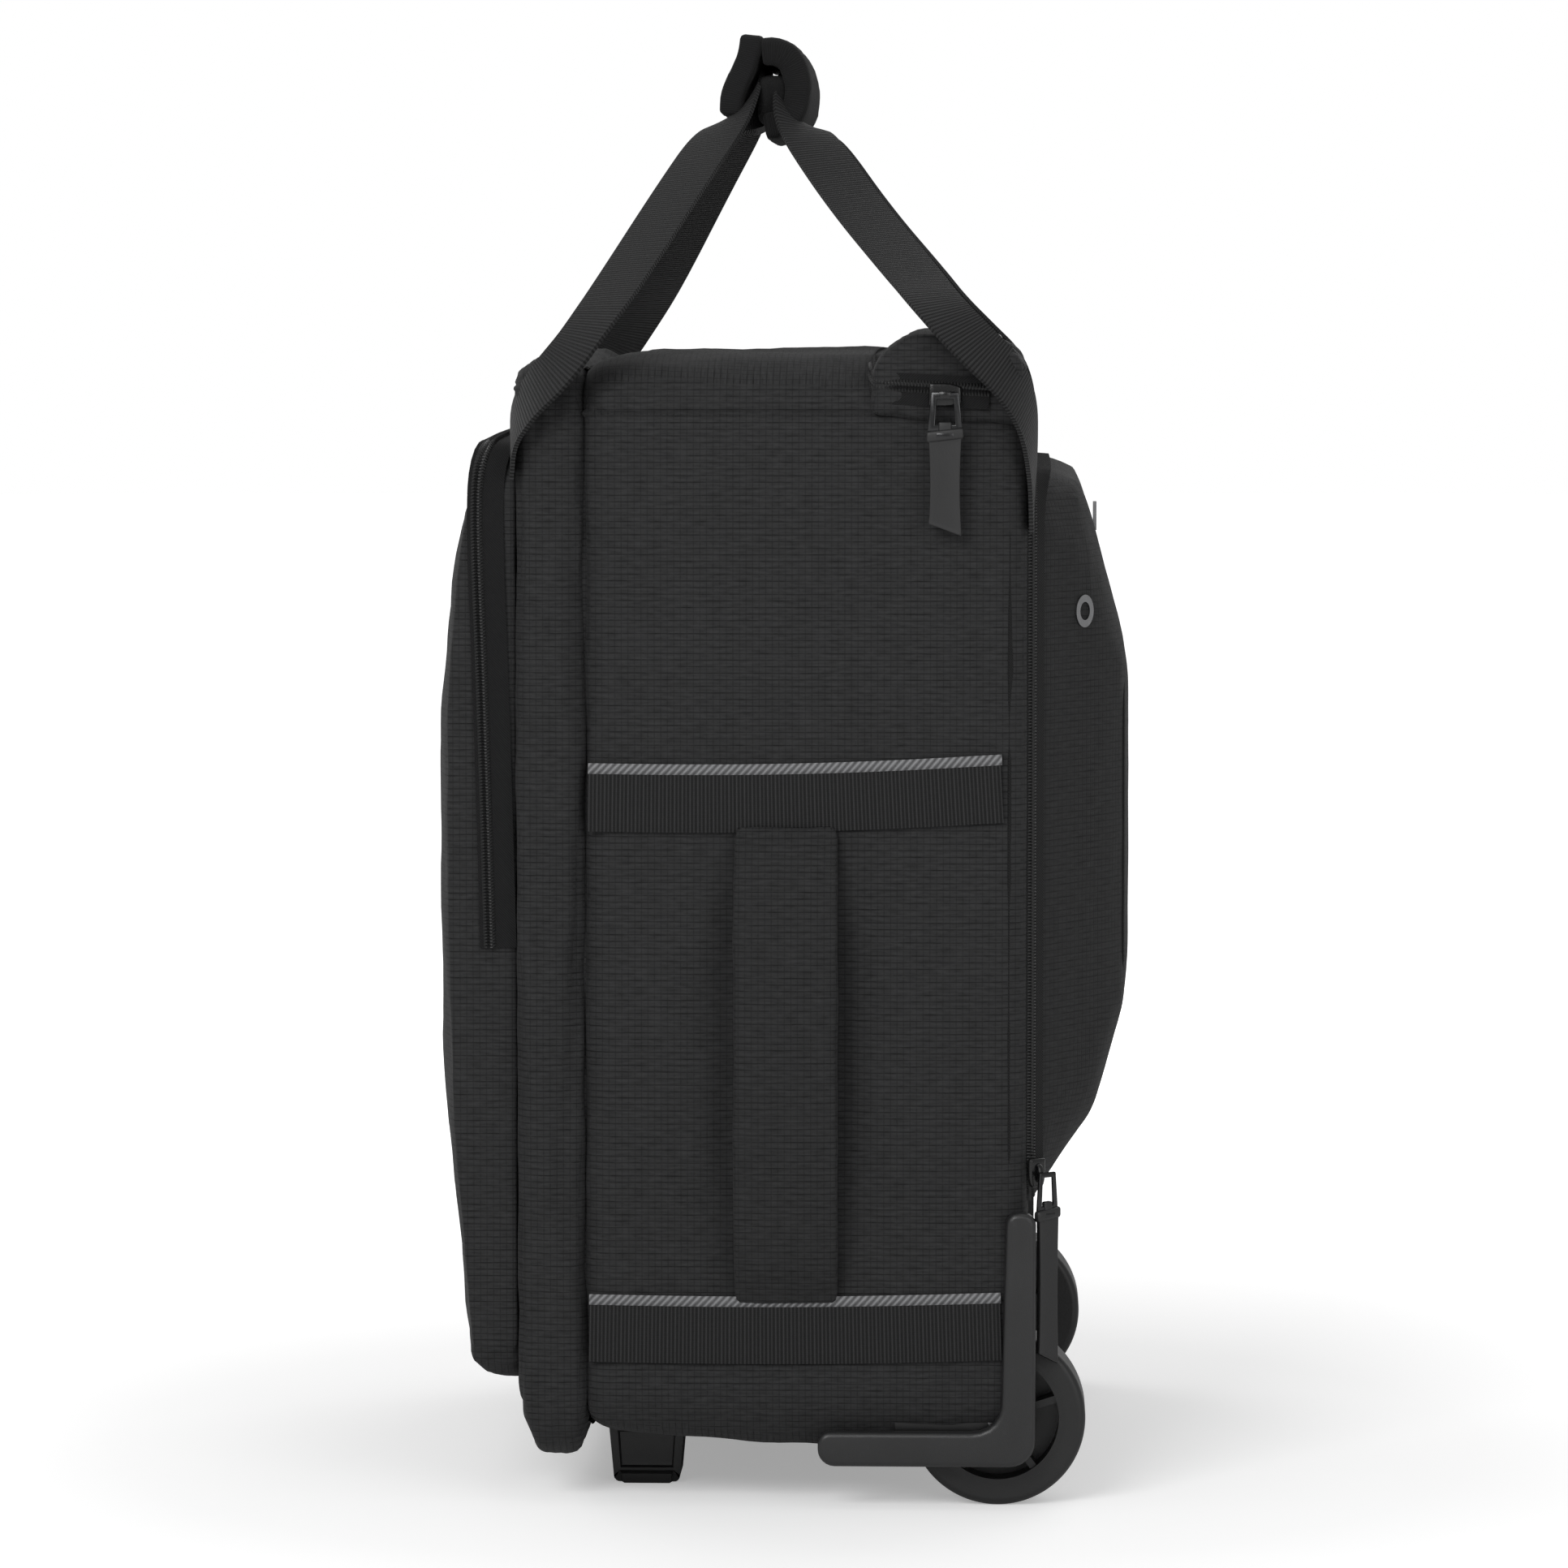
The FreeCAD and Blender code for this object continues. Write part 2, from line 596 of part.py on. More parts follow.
GRIP_X = ("-grip_half", "grip_half")


def leaf(name, thick, grow):
    """The front half of the padded grip, tilted about the X axis; grown to clear the rear half."""
    block = doc.addObject("Part::Box", name)
    block.setExpression("Length", bind(f"2 * grip_half + 2 * ({grow})"))
    block.setExpression("Width", bind(thick))
    block.setExpression("Height", bind(f"leaf_height + 2 * ({grow})"))
    block.Placement = FreeCAD.Placement(FreeCAD.Vector(),
                                        FreeCAD.Rotation(FreeCAD.Vector(1, 0, 0), -num("leaf_tilt")))
    block.setExpression("Placement.Base.x", bind(f"-grip_half - ({grow})"))
    block.setExpression("Placement.Base.y",
                        bind(f"wrap_place - wrap_radius - leaf_thick / 2 - ({thick}) + leaf_thick"))
    block.setExpression("Placement.Base.z", bind("wrap_height - leaf_height / 3"))
    return block


leaf_block = leaf("leaf_block", "leaf_thick", "0")
piece("grip_leaf", rounded("grip_leaf", leaf_block, "leaf_thick / 3", along((1, 0, 0))))
roll = rod("wrap_roll", "x", (GRIP_X[0], "wrap_place", "wrap_height"), "wrap_radius", "2 * grip_half")
bore = rod("wrap_core", "x", ("-grip_half - 1", "wrap_place", "wrap_height"), "wrap_bore",
           "2 * grip_half + 2")
clear = leaf("leaf_clearance", "4 * leaf_thick", "grip_half")
clear.setExpression("Placement.Base.y",
                    bind("wrap_place - wrap_radius - leaf_thick / 2 + leaf_thick + leaf_gap"
                                             " - 4 * leaf_thick - grip_half * 0.342"))
clear.setExpression("Placement.Base.z", bind("wrap_height - leaf_height / 3 - grip_half * 0.94"))
piece("grip_wrap", cut("grip_wrap", roll, bore, clear))


# ---------------------------------------------------------------- trolley
def tube(name, width, depth, low, high):
    """One flat-oval tube on the right-hand line; sizes are its outside."""
    def bar(part, shrink, start, end):
        block = box(f"{name}_{part}", (f"{TUBE_X} - ({width}) / 2 + {shrink}",
                                       f"{TUBE_X} + ({width}) / 2 - {shrink}"),
                    (f"{TUBE_Y} - ({depth}) / 2 + {shrink}", f"{TUBE_Y} + ({depth}) / 2 - {shrink}"),
                    (start, end))
        return rounded(f"{name}_{part}_bar", block, f"tube_round - {shrink}", along((0, 0, 1)))
    return cut(name, bar("outside", "0", low, high), bar("inside", "tube_wall", f"{low} - 1", f"{high} + 1"))


STEP = "(2 * tube_wall + 2 * tube_clearance)"
TUBE_FOOT = f"({BASE} + wall + tube_foot_height)"
WIDTHS = {"outer": "outer_tube_width", "middle": f"outer_tube_width - {STEP}",
          "inner": f"outer_tube_width - 2 * {STEP}"}
DEPTHS = {"outer": "outer_tube_depth", "middle": f"outer_tube_depth - {STEP}",
          "inner": f"outer_tube_depth - 2 * {STEP}"}
GRIP_Z = "(outer_tube_top + 4)"
GRIP_TOP = f"({GRIP_Z} + grip_height)"
ENDS = {"outer": (TUBE_FOOT, "outer_tube_top"), "middle": (f"{TUBE_FOOT} + 2", "outer_tube_top + 2"),
        "inner": (f"{TUBE_FOOT} + 4", f"{GRIP_Z} + grip_floor")}
for stage in ("outer", "middle", "inner"):
    right = piece(f"{stage}_tube_right", tube(f"{stage}_tube_right", WIDTHS[stage], DEPTHS[stage],
                                              *ENDS[stage]))
    piece(f"{stage}_tube_left", mirrored(f"{stage}_tube_left", right))

piece("tube_feet", both("tube_feet", box(
    "tube_foot", (f"{TUBE_X} - outer_tube_width / 2 - 2", f"{TUBE_X} + outer_tube_width / 2 + 2"),
    (f"{TUBE_Y} - outer_tube_depth / 2", f"{TUBE_Y} + outer_tube_depth / 2"), (f"{BASE} + wall", TUBE_FOOT))))

tray_block = box("tray_block", (f"-{TRAY_X}", TRAY_X), TRAY_Y, ("outer_tube_top", TOP))
tray_room = box("tray_room", (f"-{TRAY_X} + tray_wall", f"{TRAY_X} - tray_wall"),
                (f"{TRAY_Y[0]} + tray_wall", f"{TRAY_Y[1]} - tray_wall"),
                ("outer_tube_top + 2", f"{TOP} + 1"))
tray_bore = both("tray_bores", box(
    "tray_bore", (f"{TUBE_X} - ({WIDTHS['middle']}) / 2 - tube_clearance",
                  f"{TUBE_X} + ({WIDTHS['middle']}) / 2 + tube_clearance"),
    (f"{TUBE_Y} - ({DEPTHS['middle']}) / 2 - tube_clearance",
     f"{TUBE_Y} + ({DEPTHS['middle']}) / 2 + tube_clearance"),
    ("outer_tube_top - 1", "outer_tube_top + 3")))
piece("handle_tray", cut("handle_tray", tray_block, tray_room, tray_bore))

grip_block = box("grip_block", ("-grip_width / 2", "grip_width / 2"), GRIP_Y, (GRIP_Z, GRIP_TOP))
grip_body = rounded("grip_body", grip_block, "tube_round", along((1, 0, 0)))
CHANNEL_Z = (f"{GRIP_Z} + grip_floor", f"{GRIP_Z} + grip_floor + channel_height")
channel = box("grip_channel", (f"-{TUBE_X} - ({WIDTHS['inner']}) / 2", f"{TUBE_X} + ({WIDTHS['inner']}) / 2"),
              (f"{GRIP_Y[0]} + tube_round", f"{GRIP_Y[1]} - tube_round + 1"), CHANNEL_Z)
socket = both("grip_sockets", box(
    "grip_socket", (f"{TUBE_X} - ({WIDTHS['inner']}) / 2", f"{TUBE_X} + ({WIDTHS['inner']}) / 2"),
    (f"{TUBE_Y} - ({DEPTHS['inner']}) / 2", f"{TUBE_Y} + ({DEPTHS['inner']}) / 2"),
    (f"{GRIP_Z} - 1", CHANNEL_Z[0])))
window = box("button_window", ("-button_width / 2 - button_clearance", "button_width / 2 + button_clearance"),
             (f"{TUBE_Y} - grip_front / 2 - button_depth / 2 + 3 - button_clearance",
              f"{TUBE_Y} - grip_front / 2 + button_depth / 2 + 3 + button_clearance"),
              (CHANNEL_Z[1] + " - 1", f"{GRIP_TOP} + 1"))
piece("trolley_grip", cut("trolley_grip", grip_body, channel, socket, window))
piece("release_button", box(
    "release_button", ("-button_width / 2", "button_width / 2"),
    (f"{TUBE_Y} - grip_front / 2 - button_depth / 2 + 3",
     f"{TUBE_Y} - grip_front / 2 + button_depth / 2 + 3"),
    (CHANNEL_Z[1], f"{CHANNEL_Z[1]} + button_height")))
push_rod = rod("push_rod", "z", (TUBE_X, TUBE_Y, f"{TUBE_FOOT} + 8"), "rod_radius",
               f"{CHANNEL_Z[1]} - {TUBE_FOOT} - 8 - rod_bar / 2")
push_bar = box("push_bar", (f"-{TUBE_X} - rod_radius", f"{TUBE_X} + rod_radius"),
               (f"{TUBE_Y} - rod_bar / 2", f"{TUBE_Y} + rod_bar / 2"),
               (f"{CHANNEL_Z[1]} - rod_bar", CHANNEL_Z[1]))
piece("push_rods", fuse("push_rods", push_rod, mirrored("push_rod_left", push_rod), push_bar))


# ---------------------------------------------------------------- wheels
WHEEL_X = f"({CHEEK_OUT} - housing_wall - cheek_gap - wheel_width)"


def disc(name, radius, start=WHEEL_X, length="wheel_width"):
    """A disc on the wheel's axis, from its inner face by default."""
    return rod(name, "x", (start, WHEEL_Y, WHEEL_Z), radius, length)


RIM = "(wheel_radius - tyre_depth)"
tyre_block = cut("tyre_ring", disc("tyre_disc", "wheel_radius"),
                 disc("tyre_hole", RIM, f"{WHEEL_X} - 1", "wheel_width + 2"))
piece("tyre_right", rounded("tyre_right", tyre_block, "rim_depth", lambda edge: len(edge.Vertexes) == 1
                            and abs(edge.Curve.Radius - num("wheel_radius")) < 0.01))
piece("tyre_left", mirrored("tyre_left", NODES["tyre_right"]))

rim = cut("rim_ring", disc("rim_disc", RIM),
          disc("rim_hole", f"{RIM} - rim_depth", f"{WHEEL_X} - 1", "wheel_width + 2"))
spokes = []
for turn in range(5):
    spoke = doc.addObject("Part::Box", f"spoke_{turn}")
    spoke.setExpression("Length", bind("wheel_width - 4"))
    spoke.setExpression("Width", bind(f"{RIM} - rim_depth / 2"))
    spoke.setExpression("Height", bind("spoke_thick"))
    angle = FreeCAD.Rotation(FreeCAD.Vector(1, 0, 0), 72 * turn + 18)
    drop = angle.multVec(FreeCAD.Vector(0, 0, -num("spoke_thick") / 2))
    spoke.Placement = FreeCAD.Placement(FreeCAD.Vector(0, drop.y, drop.z), angle)
    spoke.setExpression("Placement.Base.x", bind(f"{WHEEL_X} + 2"))
    spoke.setExpression("Placement.Base.y", bind(f"{WHEEL_Y} + {drop.y:.6f}"))
    spoke.setExpression("Placement.Base.z", bind(f"{WHEEL_Z} + {drop.z:.6f}"))
    spokes.append(spoke)
web = disc("wheel_web", f"{RIM} - rim_depth / 2", f"{WHEEL_X} + wheel_width / 2 - 1.5", "3")
hub_solid = fuse("hub_solid", rim, web, disc("hub_boss", "hub_radius"), *spokes)
seats = group("bearing_seats", disc("seat_in", "bearing_radius", f"{WHEEL_X} - 1", "bearing_width + 1"),
              disc("seat_out", "bearing_radius", f"{WHEEL_X} + wheel_width - bearing_width",
                   "bearing_width + 1"))
hub = cut("hub_right", hub_solid, seats, disc("hub_bore", "axle_radius + 1", f"{WHEEL_X} - 1",
                                              "wheel_width + 2"))
piece("hub_right", hub)
piece("hub_left", mirrored("hub_left", hub))

rings = []
for end, start in (("in", WHEEL_X), ("out", f"{WHEEL_X} + wheel_width - bearing_width")):
    rings.append(cut(f"bearing_{end}", disc(f"bearing_{end}_disc", "bearing_radius", start, "bearing_width"),
                     disc(f"bearing_{end}_hole", "axle_radius + axle_clearance", f"{start} - 1",
                          "bearing_width + 2")))
piece("bearings_right", group("bearings_right", *rings))
piece("bearings_left", mirrored("bearings_left", NODES["bearings_right"]))

axle = disc("axle_right", "axle_radius", CHEEK_IN, f"{CHEEK_OUT} - {CHEEK_IN}")
piece("axles", both("axles", axle))

drum = cut("drum_shell", disc("drum_disc", DRUM, CHEEK_IN, f"{CHEEK_OUT} - {CHEEK_IN}"),
           disc("drum_room", f"{DRUM} - housing_wall", f"{CHEEK_IN} + housing_wall",
                f"{CHEEK_OUT} - {CHEEK_IN} - 2 * housing_wall"),
           disc("drum_bore", "axle_radius + axle_clearance", f"{CHEEK_IN} - 1",
                f"{CHEEK_OUT} - {CHEEK_IN} + 2"))
drum_zone = box("drum_zone", WIDE, (f"{WHEEL_Y} - {DRUM} - 1", BACK), (BASE, f"{WHEEL_Z} + {DRUM} + 1"))
housing = common("wheel_housing_right", drum, drum_zone)
piece("wheel_housing_right", housing)
piece("wheel_housing_left", mirrored("wheel_housing_left", housing))


# ---------------------------------------------------------------- guards and feet
GUARD_Y = f"({BACK} + guard_proud)"
guard = profile("corner_guard_right", "x", HALF, f"{HALF} + guard_thick", (
    (f"{BACK} - guard_reach", f"guard_foot + guard_bar * 0.8"),
    (f"{BACK} - guard_reach + 5", "guard_foot + guard_bar * 0.2"),
    (f"{WHEEL_Y} - 15", "guard_foot"), (GUARD_Y, "guard_foot"), (GUARD_Y, "guard_top"),
    (f"{GUARD_Y} - guard_arm + 2", "guard_top"),
    (f"{GUARD_Y} - guard_arm - guard_spread", "guard_foot + guard_bar"),
    (f"{BACK} - guard_reach + 5", "guard_foot + guard_bar")))
soften(guard, "guard_inner_round", near("x", (f"{GUARD_Y} - guard_arm - guard_spread",
                                              "guard_foot + guard_bar")))
piece("corner_guard_right", guard)
piece("corner_guard_left", mirrored("corner_guard_left", guard))

foot = profile("foot_pad", "x", f"{HALF} - foot_inset - foot_width", f"{HALF} - foot_inset", (
    (f"{FOOT_Y[0]} + foot_taper", "0"), (f"{FOOT_Y[1]} - foot_taper", "0"), (FOOT_Y[1], BASE),
    (FOOT_Y[0], BASE)))
foot_recess = box("foot_recess", (f"{HALF} - foot_inset - foot_recess", f"{HALF} - foot_inset + 1"),
                  (f"{FOOT_Y[0]} + 2 * foot_taper", f"{FOOT_Y[1]} - 2 * foot_taper"),
                  ("foot_taper", f"{BASE} - foot_taper"))
piece("foot_right", cut("foot_right", foot, foot_recess, holes))
piece("foot_left", mirrored("foot_left", NODES["foot_right"]))

heads = []
for end, sign in (("front", "-"), ("back", "+")):
    heads.append(rod(f"screw_head_{end}", "z", (SCREW_X, f"{FOOT_MID} {sign} screw_spacing / 2",
                                               f"{BASE} + wall + board_thick"), "screw_head", "head_height"))
head_set = both("screw_heads", group("screw_heads_right", *heads))
piece("foot_screws", fuse("foot_screws", screw_bores("screw_shafts", "0"), head_set))


# ---------------------------------------------------------------- zip sliders and their pulls
def slider(name, across, depth, height):
    return piece(name, box(name, across, depth, height))


COVER_ZIP_X = f"({COVER_X} + zip_thick)"
GARAGE_Y = f"({BACK} - 34)"
slider("garage_slider", (COVER_ZIP_X, f"{COVER_ZIP_X} + slider_thick - 1"),
       (f"{GARAGE_Y} - slider_length / 2", f"{GARAGE_Y} + slider_length / 2"),
       ("cover_foot + 4.5", "cover_foot + 4.5 + slider_width"))
PIVOT_X = f"({COVER_ZIP_X} + slider_thick - 1 + pull_gap + pull_thick / 2)"
eye = rod("garage_eye", "y", (PIVOT_X, f"{GARAGE_Y} - 6", "cover_foot + 8"), "pull_thick / 2", "12")
tab = box("garage_tab", (f"{PIVOT_X} - pull_thick / 2", f"{PIVOT_X} + pull_thick / 2"),
          (f"{GARAGE_Y} - 6", f"{GARAGE_Y} + 6"), ("cover_foot - 49", "cover_foot + 8"))
piece("garage_pull", fuse("garage_pull", eye, tab))


def side_pull(name, low, middle, height, length):
    """A pull in the plane of the bag's side, round at its eye, hanging from a pin along X."""
    eye_end = rod(f"{name}_eye", "x", (low, middle, height), "slider_width / 2", "pull_thick")
    blade = box(f"{name}_blade", (low, f"{low} + pull_thick"),
                (f"{middle} - slider_width / 2", f"{middle} + slider_width / 2"),
                (f"{height} - {length}", height))
    return fuse(name, eye_end, blade)


REAR_X = "(flap_width / 2 + 3)"
slider("rear_slider", (REAR_X, f"{REAR_X} + slider_thick"), (f"{BACK} + seam_gap", f"{BACK} + slider_width"),
       ("flap_foot + 6", "flap_foot + 6 + slider_length"))
piece("rear_pull", side_pull("rear_pull", f"{REAR_X} + slider_thick + pull_gap", f"{BACK} + slider_width",
                             "flap_foot + 9", "76"))

FAR_POCKET_X = f"(-{POCKET_X} - zip_thick)"
slider("pocket_slider", (f"{FAR_POCKET_X} - slider_thick", f"{FAR_POCKET_X} - pull_gap"), ZIP_Y,
       ("pocket_zip_foot + 2", "pocket_zip_foot + 2 + slider_length"))
piece("pocket_pull", side_pull("pocket_pull", f"{FAR_POCKET_X} - slider_thick - pull_gap - pull_thick",
                               f"{LID} - 2 - slider_width / 2", "pocket_zip_foot + 5", "45"))

FAR_SEAM_X = f"(-{HALF} - zip_thick)"
slider("main_slider", (f"{FAR_SEAM_X} - slider_thick", f"{FAR_SEAM_X} - pull_gap"),
       (f"{SEAM} - slider_width / 2", f"{SEAM} + slider_width / 2"),
       (f"{BASE} + 74", f"{BASE} + 74 + slider_length"))
piece("main_pull", side_pull("main_pull", f"{FAR_SEAM_X} - slider_thick - pull_gap - pull_thick", SEAM,
                             f"{BASE} + 77", "45"))


# ---------------------------------------------------------------- check and export
doc.recompute()
for item in doc.Objects:
    if {"Invalid", "Error"} & set(item.State):
        raise RuntimeError(f"{item.Label} failed to build: {item.State}")
for name, item in NODES.items():
    if item.Shape.isNull() or not item.Shape.isValid() or not item.Shape.Solids:
        raise RuntimeError(f"{name} is not a valid solid")
os.makedirs("parts", exist_ok=True)
for name, item in NODES.items():
    item.Shape.exportStep(f"parts/{name}.step")
    extent = item.Shape.BoundBox
    print(f"{name:22s} solids {len(item.Shape.Solids)}  volume {item.Shape.Volume / 1000:8.1f} cm3  "
          f"X {extent.XMin:.1f}..{extent.XMax:.1f}  Y {extent.YMin:.1f}..{extent.YMax:.1f}  "
          f"Z {extent.ZMin:.1f}..{extent.ZMax:.1f}")
print(len(NODES), "nodes")
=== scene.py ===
# %% [markdown]
# # A rolling bag, built over its measured frame
#
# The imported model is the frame: every tube, wheel and panel of it has its real place. This lesson
# keeps the hard pieces, gives them finishes, and sews new cloth pieces where the frame has plain
# solids. Everything is in metres, with +Z up, +X the bag's right side and -Y its front.

# %% The frame
import math
import random
import time

import bmesh
import bpy
from mathutils import Matrix, Vector, noise


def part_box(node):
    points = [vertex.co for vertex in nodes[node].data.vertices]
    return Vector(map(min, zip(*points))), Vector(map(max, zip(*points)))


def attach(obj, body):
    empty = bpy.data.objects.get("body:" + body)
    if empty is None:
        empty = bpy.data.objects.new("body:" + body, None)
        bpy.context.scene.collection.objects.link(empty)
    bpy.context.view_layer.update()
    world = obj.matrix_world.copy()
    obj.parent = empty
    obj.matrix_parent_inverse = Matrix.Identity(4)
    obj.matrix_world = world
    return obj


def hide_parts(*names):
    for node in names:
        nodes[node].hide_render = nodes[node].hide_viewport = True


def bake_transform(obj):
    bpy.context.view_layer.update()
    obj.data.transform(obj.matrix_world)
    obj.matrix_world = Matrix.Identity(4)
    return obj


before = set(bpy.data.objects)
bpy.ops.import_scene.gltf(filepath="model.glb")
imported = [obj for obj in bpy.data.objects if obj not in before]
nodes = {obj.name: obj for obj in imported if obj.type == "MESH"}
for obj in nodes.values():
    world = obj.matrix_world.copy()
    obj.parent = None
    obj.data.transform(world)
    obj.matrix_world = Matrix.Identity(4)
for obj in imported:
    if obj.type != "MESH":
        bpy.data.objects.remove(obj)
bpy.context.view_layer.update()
random.seed(7)
MM = 0.001
started = time.time()

# %% [markdown]
# ## The places that the cloth is cut to
#
# Each cloth piece starts from the box of the solid that it stands for. Reading the boxes once, and
# naming the planes between them, keeps the pieces together if a size in the frame changes.

# %% Planes of the bag
panel, top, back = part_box("side_panel_right"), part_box("top_panel"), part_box("back_panel")
HALF = panel[1].x
BASE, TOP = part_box("base_panel")[0].z, top[1].z
FRONT, BACK = panel[0].y, back[1].y
TOP_SEAM, BASE_SEAM = panel[1].z, panel[0].z
LID_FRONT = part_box("lid_front_panel")[0].y
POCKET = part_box("front_pocket")
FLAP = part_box("rear_flap")
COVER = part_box("garage_cover")
CORNER = TOP - TOP_SEAM
print("half width", round(HALF, 4), "top", round(TOP, 4), "front to back", round(FRONT, 4), round(BACK, 4))

# %% [markdown]
# ## Camera, lamps and floor
#
# The bag is looked at square on to its right side with a long lens, a little from above. Soft
# panels light it from in front, above and behind, and a pale floor keeps its shadow. The white
# surroundings belong to camera and mirror rays only, so they add no light of their own.

# %% Camera
SIGHT = Vector((HALF, 0.0, 0.3007))
bpy.ops.object.camera_add(location=(2.87, 0.0948, 0.5))
camera = bpy.context.object
camera.rotation_mode = "QUATERNION"
camera.rotation_quaternion = (SIGHT - camera.location).to_track_quat("-Z", "Y")
camera.data.lens = 151.4
camera.data.sensor_width = 36
camera.data.clip_start, camera.data.clip_end = 0.1, 60
bpy.context.scene.camera = camera
bpy.context.scene.view_settings.view_transform = "Standard"


# %% Lamps
def soft_panel(name, place, size, power):
    """A square soft lamp that looks at the middle of the bag."""
    bpy.ops.object.light_add(type="AREA", location=place)
    lamp = bpy.context.object
    lamp.name = name
    lamp.data.size, lamp.data.energy = size, power
    lamp.rotation_mode = "QUATERNION"
    lamp.rotation_quaternion = (Vector((0, 0, 0.28)) - lamp.location).to_track_quat("-Z", "Y")


soft_panel("key_lamp", (2.5, -1.1, 1.9), 1.4, 40)
soft_panel("fill_lamp", (2.3, 1.6, 1.1), 1.6, 13)
soft_panel("top_lamp", (0.0, 0.2, 2.8), 1.6, 5)
soft_panel("rear_lamp", (-2.2, 1.2, 1.8), 1.6, 13)
soft_panel("side_lamp", (-1.8, -2.0, 1.4), 1.6, 13)

# %% [markdown]
# ## Writing shaders as sums
#
# A shader tree is easier to read as arithmetic. `Wire` wraps the output of a node, and its
# operators add Math nodes; `Finish` owns one material, adds any other node through one method, and
# sets what never varies straight on the surface shader.


# %% Shader arithmetic
class Wire:
    """The output of a shader node; an expression on it adds Math nodes."""

    def __init__(self, finish, socket):
        self.finish, self.socket = finish, socket

    def join(self, operation, *values):
        return self.finish.node("ShaderNodeMath", {"operation": operation}, dict(enumerate(values)))

    def __add__(self, other):
        return self.join("ADD", self, other)

    def __sub__(self, other):
        return self.join("SUBTRACT", self, other)

    def __rsub__(self, other):
        return self.join("SUBTRACT", other, self)

    def __mul__(self, other):
        return self.join("MULTIPLY", self, other)

    def __truediv__(self, other):
        return self.join("DIVIDE", self, other)

    __radd__, __rmul__ = __add__, __mul__

    def wave(self):
        """0 to 1 and back, once in each whole number."""
        return self.join("SINE", self * (2 * math.pi)) * 0.5 + 0.5

    def above(self, level, soft):
        """0 below the level, 1 above it, with a soft step between."""
        settings = {"interpolation_type": "SMOOTHSTEP"}
        return self.finish.node("ShaderNodeMapRange", settings, {0: self, 1: level - soft, 2: level + soft})


class Finish:
    """One material, with its Principled shader."""

    def __init__(self, name, colour, roughness, **fixed):
        self.material = bpy.data.materials.new(name)
        self.material.use_nodes = True
        self.tree = self.material.node_tree
        self.shader = self.tree.nodes["Principled BSDF"]
        self.set("Base Color", (*colour, 1.0))
        self.set("Roughness", roughness)
        for socket, value in fixed.items():
            self.set(socket.replace("_", " "), value)

    def set(self, socket, value):
        if isinstance(value, Wire):
            self.tree.links.new(value.socket, self.shader.inputs[socket])
        else:
            self.shader.inputs[socket].default_value = value

    def node(self, kind, settings=None, values=None, out=0):
        made = self.tree.nodes.new(kind)
        for name, value in (settings or {}).items():
            if name == "stops":
                for stop, (place, colour) in zip(made.color_ramp.elements, value):
                    stop.position, stop.color = place, (*colour, 1.0)
            else:
                setattr(made, name, value)
        for socket, value in (values or {}).items():
            if isinstance(value, Wire):
                self.tree.links.new(value.socket, made.inputs[socket])
            else:
                made.inputs[socket].default_value = value
        return Wire(self, made.outputs[out])

    def place(self, source="Object"):
        return self.node("ShaderNodeTexCoord", out=source)

    def axes(self, source="Object"):
        """The three numbers of the place on the piece, in metres."""
        split = self.node("ShaderNodeSeparateXYZ", values={0: self.place(source)})
        return [Wire(self, socket) for socket in split.socket.node.outputs]

    def mottle(self, scale, detail=3.0, source="Object", stretch=(1, 1, 1)):
        """Smooth noise from 0 to 1; scale is its lumps per metre."""
        spread = self.node("ShaderNodeMapping", {}, {"Vector": self.place(source), "Scale": stretch})
        return self.node("ShaderNodeTexNoise", {}, {"Vector": spread, "Scale": scale, "Detail": detail})

    def between(self, factor, dark, light):
        """A colour that goes from dark to light with the factor."""
        settings = {"data_type": "RGBA"}
        values = {0: factor, 6: (*dark, 1.0), 7: (*light, 1.0)}
        return self.node("ShaderNodeMix", settings, values, out=2)

    def bump(self, height, depth, strength=1.0):
        """Relief of a true depth in metres."""
        values = {"Height": height, "Distance": depth, "Strength": strength}
        self.set("Normal", self.node("ShaderNodeBump", {}, values))
        return self


def grey(level):
    """A neutral colour from its screen value of 0 to 255, very slightly cool."""
    tone = ((level / 255 + 0.055) / 1.055) ** 2.4
    return (tone * 0.99, tone * 0.995, tone * 1.02)


# %% [markdown]
# ## The cloths
#
# The shell is ripstop: a fine plain weave with a heavier yarn every few threads, which shows as a
# small grid. Its pattern follows the piece's own UV map, measured in metres, so the grid keeps its
# real pitch on every panel. Uneven yarns show as short streaks along the weave. Webbing is a
# coarser rib weave across the strap.

# %% Ripstop
RIPSTOP_PITCH = 2.7 * MM


def ripstop(name, level, source="UV"):
    cloth = Finish(name, grey(level), 0.78, Specular_IOR_Level=0.2, Sheen_Weight=0.03, Sheen_Roughness=0.5)
    across, along, _ = cloth.axes(source)
    upright, level_line = [(axis / RIPSTOP_PITCH).wave().above(0.94, 0.06) for axis in (across, along)]
    broken = cloth.mottle(220, 3.0, "UV", (0.5, 1, 1)) * 1.2 + 0.25
    cord = (upright * 0.55).join("MAXIMUM", upright * 0.55, level_line) * broken
    weave = (across / (0.45 * MM)).wave() * (along / (0.45 * MM)).wave()
    slub = cloth.mottle(800, 3.0, "UV", (0.2, 1, 1))
    dye = cloth.mottle(60, 4.0)
    tone = weave * 0.15 + slub * 0.85 + dye * 0.25 - cord * 0.45
    dark, light = [tuple(c * gain for c in grey(level)) for gain in (0.2, 2.2)]
    cloth.set("Base Color", cloth.between(tone, dark, light))
    cloth.set("Roughness", dye * 0.16 + 0.68)
    cloth.bump(slub * 0.6 + weave * 0.3 - cord * 0.5, 0.22 * MM)
    return cloth.material


